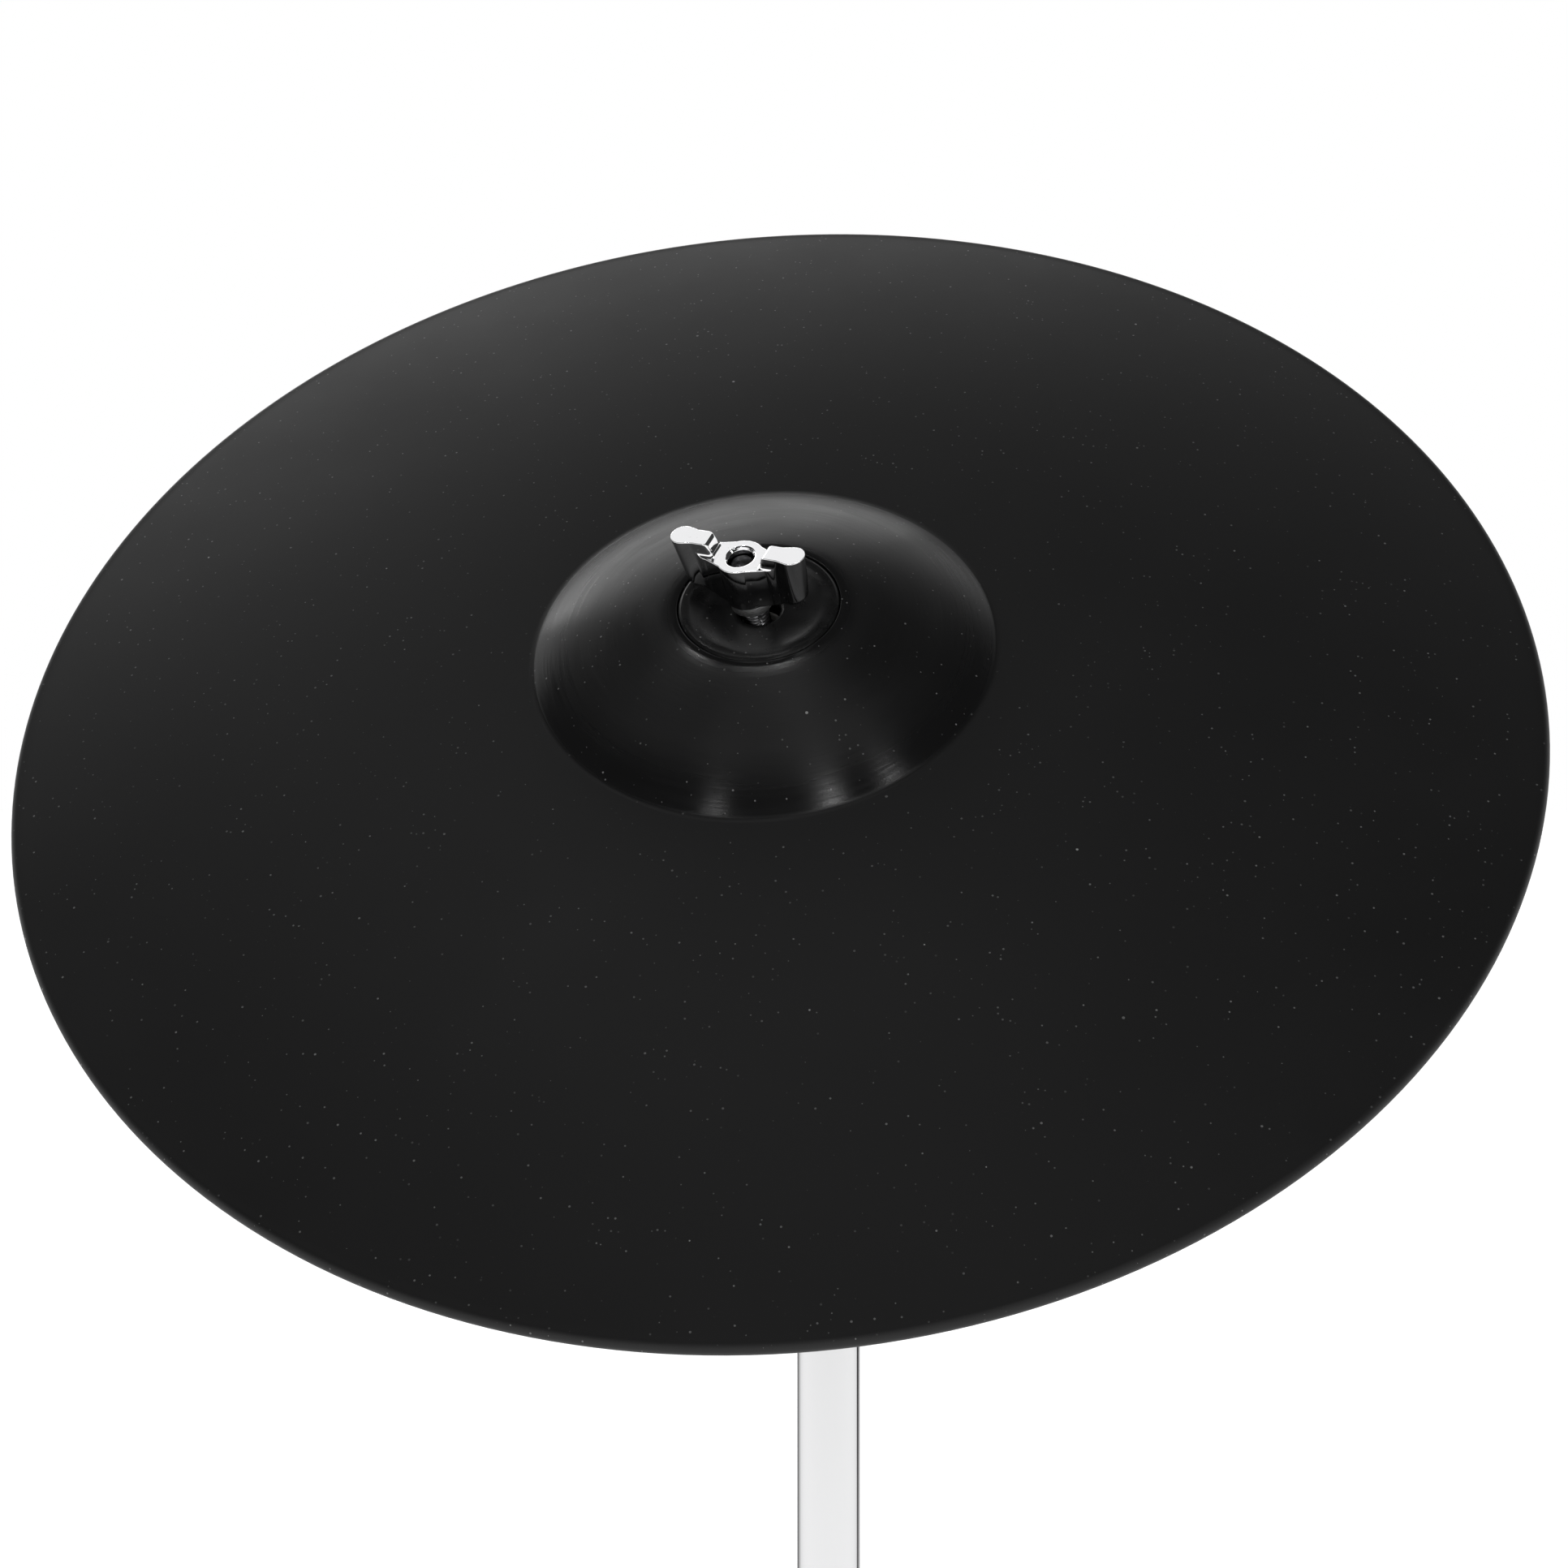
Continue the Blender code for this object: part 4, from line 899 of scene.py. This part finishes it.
def make_housing():
    """Tray below the bell: rounded wall, flange with screw holes, radial ribs and a hole for the socket."""
    wall, flange, inner = 69.0, 80.0, 24.0
    floor, under, rim = 0.0, -2.0, 26.0
    ring_radius = 46.0
    rib_height = 0.7
    wall_top = surface_height(wall) - SHEET_TOP
    profile = [(wall - 2, wall_top)] + surface_points(wall, flange, SHEET_TOP, spacing=3.0)
    profile += surface_points(flange, wall + 1.5, SHEET_TOP + HOUSING_FLANGE, spacing=3.0)
    profile += [(wall, wall_top - 4), (wall - 1.5, under + 1.5), (wall - 3, under)]
    profile += [(radius, under) for radius in np.linspace(wall - 5, inner + 4, 40)]
    profile += [(inner + 1.5, under), (inner, under + 1.5), (inner, rim), (inner + 2, rim),
                (inner + 2, floor), (wall - 4.5, floor), (wall - 3.5, floor + 1.5)]
    mesh = turned_mesh("housing", rounded(profile, 0.6, steps=3), RIBBED_STEPS)
    places = points_of(mesh) / MM
    away, angle = polar(places)
    is_under = np.abs(places[:, 2] - under) < 0.05
    ribs = teeth(angle, 24, 3.0, 2.0) * span_mask(away, inner + 6, wall - 6, 2.0)
    ring = np.exp(-(away - ring_radius) ** 2)
    places[:, 2] += rib_height * np.maximum(ribs, ring) * is_under
    move_points(mesh, places)
    piece = settle("housing", mesh, CYMBAL, "cover_plastic", "cymbal", "sensor_housing")
    cut_holes(piece, SMALL_HOLE, 30.0, CYMBAL, screw_spots())
    cut_holes(piece, JACK_RADIUS + GAP, 15.0, JACK, [(0, 0, 67.5)])
    store_place(piece.data, CYMBAL)


def screw_spots():
    """Where the housing screws stand, round the cymbal's axis."""
    for i in range(HOUSING_SCREWS):
        angle = FULL_TURN * i / HOUSING_SCREWS
        yield (HOUSING_SCREW_CIRCLE * math.cos(angle), HOUSING_SCREW_CIRCLE * math.sin(angle), 0)


def make_housing_screws():
    """Pan-head screws with a thread and a cross recess."""
    head_top = surface_height(HOUSING_SCREW_CIRCLE) - SHEET_TOP - HOUSING_FLANGE - GAP
    shank_top = surface_height(HOUSING_SCREW_CIRCLE) - PLATE_DEPTH - GAP
    shank_low = head_top - 0.5
    head_radius, dome_radius, dome_drop = 2.85, 3.5, 1.6
    shank_radius, thread_depth, pitch = 1.36, 0.12, 0.8
    arm_half, arm_reach = 0.33, 1.45
    box = 3.2

    def screw(p):
        x, y, z = p[..., 0], p[..., 1], p[..., 2]
        away = np.hypot(x, y)
        dome = np.sqrt(x**2 + y**2 + (z - head_top - dome_drop) ** 2) - dome_radius
        head = smooth_cut(smooth_cut(away - head_radius, z - head_top, 0.15), dome, 0.25)
        thread = thread_depth * np.cos(FULL_TURN * z / pitch - np.arctan2(y, x))
        ends = np.abs(z - 0.5 * (shank_top + shank_low)) - 0.5 * (shank_top - shank_low)
        shank = smooth_cut(away - shank_radius - thread, ends, 0.2)
        slot_depth = z - head_top + 0.75 + 0.25 * away
        arms = np.minimum(np.maximum(np.abs(x) - arm_half, np.abs(y) - arm_reach),
                          np.maximum(np.abs(y) - arm_half, np.abs(x) - arm_reach))
        return smooth_cut(smooth_union(head, shank, 0.2), -np.maximum(arms, slot_depth), 0.12)

    mesh = cast_mesh("screw", screw, (-box, -box, head_top - 2.4), (box, box, shank_top + 0.6), 0.14)
    for number, spot in enumerate(screw_spots(), start=1):
        settle(f"screw_{number}", mesh.copy(), shifted(CYMBAL, *spot), "black_screw", "cymbal",
               f"housing_screw_{number}")


def make_jack():
    """Threaded barrel of the cable's socket and its hexagon nut."""
    shell, bore, low, floor, shoulder, top = 5.4, 3.2, 38.0, 42.0, 64.3, 73.5
    thread_low, thread_fade, thread_top, thread_depth = 64.4, 72.8, 73.1, 0.14
    nut_half, nut_flat, nut_cone = 1.25, 5.72, 6.2

    def thread(radius, height, angles):
        if abs(radius - JACK_RADIUS) > 0.01 or height >= thread_fade:
            return 0.0 * angles
        return -thread_depth * (1 + np.cos(FULL_TURN * height / JACK_PITCH - angles))

    profile = [(0, low), (shell, low), (shell, shoulder)]
    profile += [(JACK_RADIUS, height) for height in np.arange(thread_low, thread_top, 0.1)]
    profile += [(4.6, top), (bore + 0.3, top), (bore, top - 0.3), (bore, floor), (0, floor)]
    turned("jack", profile, JACK, "black_nylon", "cymbal", "output_jack", None, SMALL_STEPS, thread)

    def nut(p):
        x, y = p[..., 0], p[..., 1]
        away = np.hypot(x, y)
        ends = np.abs(p[..., 2] - JACK_NUT_MIDDLE) - nut_half
        flats = [np.abs(x * math.cos(a) + y * math.sin(a)) for a in (0, math.pi / 3, 2 * math.pi / 3)]
        body = smooth_cut(np.max(flats, 0) - nut_flat, ends, 0.2)
        body = smooth_cut(body, away + 1.2 * ends - nut_cone, 0.1)
        return smooth_cut(body, JACK_RADIUS + GAP - away, 0.15)
    cast("hex_nut", nut, (-7, -7, 68.6), (7, 7, 72.1), 0.2, JACK, "zinc_steel", "cymbal", "jack_nut")


def finish_hidden_layers():
    """Solids that stay as they are inside the cymbal get their materials."""
    hidden = {
        "core_resin": ("core_plate",),
        "switch_film": ("bell_sensor", "edge_sensor"),
        "damping_foam": ("damping_sheet", "piezo_cushion"),
        "pickup_brass": ("piezo_disc",),
        "board_laminate": ("circuit_board",),
        "lead_insulation": ("jack_lead", "pickup_lead", "switch_lead"),
    }
    for look, nodes in hidden.items():
        for node in nodes:
            materials = frame["nodes"][node].data.materials
            materials.clear()
            materials.append(LOOKS[look])


# ---- post, wing nut and tilter

def threaded(name, low, high, crest, pitch, depth, start, stop, matrix, look, body, node):
    """A rod with a real helical thread between two heights, and plain turned profiles at its ends."""
    per_turn = 10

    def groove(radius, height, angles):
        if not low < height < high or abs(radius - crest) > TINY:
            return 0.0 * angles
        wave = np.abs(((height / pitch - angles / FULL_TURN) % 1.0) * 2 - 1)
        fade = min(1.0, (height - low) / pitch, (high - height) / pitch)
        return -depth * fade * np.clip(wave * 1.3 - 0.15, 0, 1)

    profile = start + [(crest, height) for height in np.arange(low, high, pitch / per_turn)] + stop
    turned(name, profile, matrix, look, body, node, None, SMALL_STEPS, groove)


def make_post():
    """Threaded post with a plain dog point."""
    foot, dog, shoulder, tip = 16.4, 3.3, 72.0, 76.1
    start = [(0, foot), (POST_RADIUS - 0.4, foot), (POST_RADIUS, foot + 0.4)]
    stop = [(POST_RADIUS, shoulder), (dog, shoulder + 0.5), (dog, tip - 0.5), (3.0, tip - 0.1), (2.8, tip),
            (0, tip)]
    threaded("post", 48.0, 71.9, POST_RADIUS, POST_PITCH, 0.62, start, stop, POST, "post_steel", "tilter",
             "cymbal_post")


def make_post_rings():
    """Sleeve and domed washer below the cymbal, and the wing nut's insert above it."""
    bore, barrel, flange = 4.3, 5.0, 8.0
    low, high, step = 31.3, 49.6, 32.5
    sleeve = [(barrel, high), (bore, high), (bore, low), (flange, low), (flange, step), (barrel, step)]
    turned("sleeve", sleeve, POST, "black_nylon", "tilter", "post_sleeve")
    under = [(5.3, 33.2), (8.5, 33.12), (11.5, 32.8), (14.5, 32.2)]
    over = [(14.5, 33.6), (11.5, 34.2), (8.5, 34.55), (5.3, 34.7)]
    turned("washer_domed", under + over, POST, "zinc_steel", "tilter", "domed_washer", 0.25)
    barrel, collar = 5.4, 6.35
    foot, waist, top = 59.7, 63.2, 73.2
    insert = [(bore, foot), (5.7, foot), (6.2, foot + 0.6), (collar, foot + 1.5), (collar, waist),
              (barrel, waist), (barrel, top), (bore, top)]
    turned("insert", insert, POST, "brushed_insert", "nut_carrier", "thread_insert", 0.15)


def make_felt():
    """Felt washer, its faces matted and a little uneven."""
    inner, outer, top, bottom = 7.0, 15.0, -4.8, -10.8
    spacing = 0.35
    sink, swell, wave_count = 0.12, 0.06, 40
    outline = rounded([(inner, top), (outer, top), (outer, bottom), (inner, bottom)], 1.2, steps=5)
    profile = []
    for i, here in enumerate(outline):
        there = outline[(i + 1) % len(outline)]
        count = max(1, round(math.dist(here, there) / spacing))
        profile += [tuple(np.array(here) + (np.array(there) - here) * k / count) for k in range(count)]
    profile.reverse()
    mesh = turned_mesh("felt", profile, RIBBED_STEPS)
    random = np.random.default_rng(7)
    waves = random.normal(size=(wave_count, 3)) * 1.6
    phases = random.uniform(0, FULL_TURN, wave_count)
    places = points_of(mesh) / MM
    relief = np.cos(places @ waves.T + phases).sum(1) / math.sqrt(wave_count / 2)
    core = places * (0.5 * (inner + outer) / np.hypot(places[:, 0], places[:, 1]))[:, None]
    core[:, 2] = 0.5 * (top + bottom)
    outward = places - core
    outward /= np.linalg.norm(outward, axis=1)[:, None]
    move_points(mesh, places + outward * (swell * relief - sink)[:, None])
    settle("felt_washer", mesh, SEAT, "felt", "seat", "seat_felt")


def winged(p, bore, hub, web_end, web_half, offset, wing_in, wing_mid, wing_out, wing_half, tip_half, flare,
           hub_top, wing_top, hub_low, root_low, tip_low, edge, fillet):
    """Distance to a cast wing nut: round hub, tapering webs, and two upright wings with full ends.

    The webs and wings stand off the centre line, one forward and one back.
    """
    x = np.abs(p[..., 0])
    y = p[..., 1] * np.where(p[..., 0] < 0, -1.0, 1.0)
    z = p[..., 2]
    lean = flare * (wing_top - z) / (wing_top - tip_low)
    under = root_low + (tip_low - root_low) * np.clip((x - hub) / (wing_out - hub), 0, 1) - z
    barrel = smooth_cut(np.hypot(x, y) - hub, hub_low - z, edge)
    webs = smooth_cut(tapered(x, y + 0.5 * offset * x / web_end, 0.0, web_end, hub, web_half), under, edge)
    body = smooth_cut(np.minimum(barrel, webs), z - hub_top, edge)
    bar = tapered(x + lean, y + offset, 0.5 * wing_in, wing_mid, wing_half, wing_half)
    end = np.hypot(x + lean - wing_out + tip_half, y + offset) - tip_half
    rise = (z - hub_top) / (wing_top - hub_top)
    flank = (wing_in - 3.0 + 0.6 * np.clip(rise, -1, 1) + 0.9 * np.clip(rise, 0, 1) ** 2) - x
    wings = smooth_cut(smooth_union(bar, end, 1.6), z - wing_top, edge)
    wings = smooth_cut(smooth_cut(wings, under, 1.2), 0.85 * flank, 1.1)
    return smooth_cut(smooth_union(body, wings, fillet), -bore(p), edge)


def make_wing_nut():
    """Wing nut of the post."""
    narrow, sink, wide, wide_top = 3.8, 4.6, 5.7, 73.6

    def bore(p):
        away = np.hypot(p[..., 0], p[..., 1])
        z = p[..., 2]
        countersunk = np.minimum(away - narrow, 0.7 * (away - sink + NUT_TOP - z))
        return np.minimum(countersunk, np.maximum(away - wide, z - wide_top))

    def field(p):
        return winged(p, bore, hub=7.0, web_end=10.0, web_half=3.7, offset=1.0, wing_in=11.0, wing_mid=15.0,
                      wing_out=21.9, wing_half=2.95, tip_half=3.75, flare=2.0, hub_top=NUT_TOP, wing_top=82.6,
                      hub_low=63.5, root_low=64.4, tip_low=67.3, edge=0.28, fillet=1.0)
    cast("nut", field, (-23, -9, 62.5), (23, 9, 83.6), 0.26, rotated(POST, NUT_TURN, "Z"), "nut_chrome",
         "wing_nut_body", "wing_nut")


def make_clamp():
    """Bolt, washers and small wing nut on the tilter's pivot."""
    head = FACE_GAP - 2 * POST_OFFSET - GAP
    dome = [(0, 3.8), (1.8, 3.72), (3.4, 3.4), (4.8, 2.9), (5.9, 2.25), (6.7, 1.5), (7.0, 0.9), (7.0, 0.2),
            (6.8, 0.0), (BOLT_RADIUS, 0.0)]
    start = [(radius, head - height) for radius, height in dome]
    stop = [(BOLT_RADIUS, 18.0), (BOLT_RADIUS - 0.5, 18.5), (0, 18.5)]
    threaded("bolt", 1.5, 17.9, BOLT_RADIUS, BOLT_PITCH, 0.5, start, stop, CLAMP, "tilter_chrome", "stand",
             "clamp_bolt")
    turned("washer_fibre", tube(BOLT_HOLE, 11.5, -5.8, -4.8), CLAMP, "friction_fibre", "stand",
           "friction_washer", 0.15)
    turned("washer_plain", tube(BOLT_HOLE, 8.0, 4.8, 6.0), CLAMP, "zinc_steel", "clamp_carrier",
           "clamp_washer")
    low = 6.3

    def bore(p):
        return np.hypot(p[..., 0], p[..., 1]) - BOLT_HOLE

    def field(p):
        return winged(p, bore, hub=5.5, web_end=6.6, web_half=1.5, offset=0.3, wing_in=7.1, wing_mid=8.8,
                      wing_out=12.5, wing_half=1.35, tip_half=1.5, flare=0.6, hub_top=low + 7,
                      wing_top=low + 9, hub_low=low, root_low=low + 1, tip_low=low + 3, edge=0.3, fillet=0.8)
    cast("clamp_nut", field, (-13.5, -6.5, low - 1), (13.5, 6.5, low + 10), 0.25, CLAMP, "nut_chrome",
         "clamp_nut_body", "clamp_wing_nut")


def tilter_disc(p, half_width):
    """One disc of the tilter, with ratchet marks on its rim, and the dish to cut in its outer face."""
    x, y, z = p[..., 0], p[..., 1], p[..., 2]
    away = np.hypot(y, z)
    marks = 0.12 * teeth(np.arctan2(z, y), 36, 3.0, 1.6)
    disc = smooth_cut(away - TILTER_RADIUS + marks, np.abs(x) - half_width, 0.5)
    dish = smooth_cut(np.abs(away - 7.6) - 2.2, half_width - 0.4 - x, 0.3)
    return away, disc, dish


def make_tilter_head():
    """Moving half of the tilter: a disc, a neck, and the socket that holds the post."""
    neck_radius, socket_radius, socket_low, socket_top = 4.2, 7.0, 12.6, 31.0
    bore_radius, bore_floor = POST_RADIUS + GAP, 16.0
    groove_height, groove_radius = 28.0, 0.36

    def head(p):
        x, y, z = p[..., 0], p[..., 1], p[..., 2]
        from_post = np.hypot(x, y)
        away, disc, dish = tilter_disc(p, HEAD_HALF_WIDTH)
        socket = cylinder(p, socket_radius, socket_low, socket_top, blend=0.6)
        neck = cylinder(p, neck_radius, 6.0, 14.0, blend=0.3)
        groove = np.hypot(from_post - socket_radius, z - groove_height) - groove_radius
        washers = np.maximum(away - TILTER_RADIUS - 0.4, HEAD_HALF_WIDTH - np.abs(x))
        bore = np.maximum(from_post - bore_radius, bore_floor - z)
        whole = smooth_union(disc, smooth_union(socket, neck, 0.8), 2.0)
        for hole, blend in ((washers, 0.2), (dish, 0.3), (groove, 0.2), (bore, 0.3), (away - BOLT_HOLE, 0.3)):
            whole = smooth_cut(whole, -hole, blend)
        return whole

    cast("head", head, (-8, -13, -13), (8, 13, 32), 0.42, POST, "tilter_chrome", "tilter", "tilter_head")


def make_tilter_base():
    """Fixed half of the tilter: a disc, a stem, a collar on the tube and a cross-drilled spigot inside it."""
    stem_radius, spigot_radius = 4.7, 7.7

    def base(p):
        away, disc, dish = tilter_disc(p, BASE_HALF_WIDTH)
        stem = cylinder(p, stem_radius, -15.0, -6.0)
        collar = cylinder(p, TUBE_RADIUS, -17.5, -13.9)
        spigot = cylinder(p, spigot_radius, -62.0, -16.0, blend=0.8)
        cross_hole = np.hypot(p[..., 1], p[..., 2] + PIN_DEPTH) - SMALL_HOLE
        whole = np.minimum(smooth_union(smooth_union(disc, stem, 1.2), collar, 0.7), spigot)
        for hole in (dish, away - BOLT_HOLE, cross_hole):
            whole = smooth_cut(whole, -hole, 0.3)
        return whole

    cast("base", base, (-10.5, -13, -63), (10.5, 13, 13), 0.45, STAND_HEAD, "tilter_chrome", "stand",
         "tilter_base")


def make_stand():
    """Tube with rolled ends and a cross pin, and the ribbed plug in its foot."""
    inner = TUBE_RADIUS - TUBE_WALL
    foot, top = 4.0, 382.2
    pipe = turned("pipe", tube(inner, TUBE_RADIUS, foot, top), STAND, "tube_chrome", "stand",
                  "stand_tube", 0.5, FINE_STEPS)
    cut_holes(pipe, SMALL_HOLE, 30.0, PIN, [(0, 0, 0)])
    crest, valley = 7.7, 7.3
    plug = [(0, 0), (8.4, 0), (TUBE_RADIUS, 1.1), (TUBE_RADIUS, 3.7), (crest, 3.7)]
    for i in range(4):
        z = 5.0 + 2.8 * i
        plug += [(crest, z), (crest, z + 1.4), (valley, z + 1.6), (valley, z + 2.6)]
    plug += [(6.7, 18), (0, 18)]
    turned("plug", plug, STAND, "plug_rubber", "stand", "tube_plug")
    reach = TUBE_RADIUS + 0.2
    turned("pin", rod(1.5, -reach, reach), PIN, "zinc_steel", "stand", "tube_pin", 0.35, SMALL_STEPS)


# ---- studio, in metres

# Place, width and power of each strip light, then place and power of each small light.
STRIPS = (
    ((-0.75, -1.79, 1.0), 0.12, 0.7),
    ((0.4, -1.85, 1.08), 0.05, 1.9),
    ((0.97, -1.53, 1.22), 0.12, 1.2),
)
SPOTS = (
    ((-0.76, -0.55, 2.22), 1.0),
    ((-0.38, -0.89, 2.21), 0.4),
    ((-0.11, -0.87, 2.25), 1.3),
)
STRIP_HEIGHT = 0.22
SPOT_SIZE = 0.1
POLISHED = ("nut", "insert", "clamp_nut", "head", "base", "bolt")
CAMERA_PLACE = (-0.0136, -0.8901, 0.3888)
CAMERA_LENS = 67.08
CAMERA_SENSOR = 36.0
FLOOR_REACH = 40.0
WHITE = (1, 1, 1, 1)


def area_light(name, place, width, height, power, glossy=True, diffuse=True):
    """A soft rectangular light, aimed at the cymbal's seat."""
    data = bpy.data.lights.new(name, "AREA")
    data.shape = "RECTANGLE"
    data.size = width
    data.size_y = height
    data.energy = power
    lamp = add_object(name, data)
    lamp.location = place
    lamp.rotation_euler = (SEAT_POINT - lamp.location).to_track_quat("-Z", "Y").to_euler()
    lamp.visible_glossy = glossy
    lamp.visible_diffuse = diffuse
    return lamp


def make_world():
    """Bright backdrop and horizon, dim ceiling and room; plain white behind the object."""
    world = bpy.data.worlds.new("studio")
    bpy.context.scene.world = world
    world.use_nodes = True
    sky = Nodes(world.node_tree)
    direction = sky.node("ShaderNodeTexCoord").outputs["Generated"]
    onward, upward = sky.filled(sky.node("ShaderNodeSeparateXYZ"), direction).outputs[1:]
    wall_top = sky.between(onward, -0.2, 0.6, 0.06, 0.62, "SMOOTHSTEP")
    softness = sky.between(onward, -0.2, 0.6, 0.12, 0.5, "SMOOTHSTEP")
    dim = sky.between(upward, wall_top, sky.plus(wall_top, softness), 1.0, 0.04, "SMOOTHSTEP")
    seen_by_camera = sky.node("ShaderNodeLightPath").outputs["Is Camera Ray"]
    background = world.node_tree.nodes["Background"]
    sky.join(sky.maths("MAXIMUM", dim, seen_by_camera), background.inputs["Strength"])
    background.inputs["Color"].default_value = WHITE


def make_floor():
    """Plain pale floor."""
    corners = [(x * FLOOR_REACH, y * FLOOR_REACH, 0) for x, y in ((-1, -1), (1, -1), (1, 1), (-1, 1))]
    mesh = bpy.data.meshes.new("floor")
    mesh.from_pydata(corners, [], [(0, 1, 2, 3)])
    look = Look("floor_paint", (0.35, 0.35, 0.35), 0.8, own_place=False, Specular_IOR_Level=0.1)
    look.patches(look.noise(900.0), 0.4, 0.6, 0.3, (0.34, 0.34, 0.34))
    look.inputs["Emission Color"].default_value = WHITE
    look.inputs["Emission Strength"].default_value = 0.95
    mesh.materials.append(LOOKS["floor_paint"])
    add_object("floor", mesh)


def make_lights():
    """Softboxes overhead and behind, one for the polished pieces only, and strips and small lights in front.

    The overhead light makes no highlights. The strips and small lights make nothing else.
    """
    area_light("overhead", (0.0, -0.3, 2.6), 3.0, 3.0, 16.0, glossy=False)
    polish = area_light("polish_box", SEAT_POINT + Vector((-0.2, 0.6, 1.9)), 3.2, 3.2, 28.0)
    polished = bpy.data.collections.new("polished")
    for name in POLISHED:
        polished.objects.link(bpy.data.objects[name])
    polish.light_linking.receiver_collection = polished
    area_light("back_box", SEAT_POINT + Vector((-0.4, 1.35, 1.45)), 2.0, 0.4, 6.2)
    for number, (place, width, power) in enumerate(STRIPS, start=1):
        area_light(f"strip_{number}", place, width, STRIP_HEIGHT, power, diffuse=False)
    for number, (place, power) in enumerate(SPOTS, start=1):
        area_light(f"spot_{number}", place, SPOT_SIZE, SPOT_SIZE, power, diffuse=False)


def make_camera():
    """Level camera in front of the cymbal, at its height."""
    data = bpy.data.cameras.new("camera")
    data.lens = CAMERA_LENS
    data.sensor_width = CAMERA_SENSOR
    data.clip_start = 0.01
    camera = add_object("camera", data)
    camera.location = CAMERA_PLACE
    camera.rotation_euler = (QUARTER_TURN, 0, 0)
    bpy.context.scene.camera = camera


make_playing_surface()
make_bell_cap()
make_ring_nut()
make_bush()
make_bottom_cover()
make_housing()
make_housing_screws()
make_jack()
finish_hidden_layers()
make_post()
make_post_rings()
make_felt()
make_wing_nut()
make_clamp()
make_tilter_head()
make_tilter_base()
make_stand()
make_world()
make_floor()
make_lights()
make_camera()
bpy.context.scene.view_settings.view_transform = "Standard"
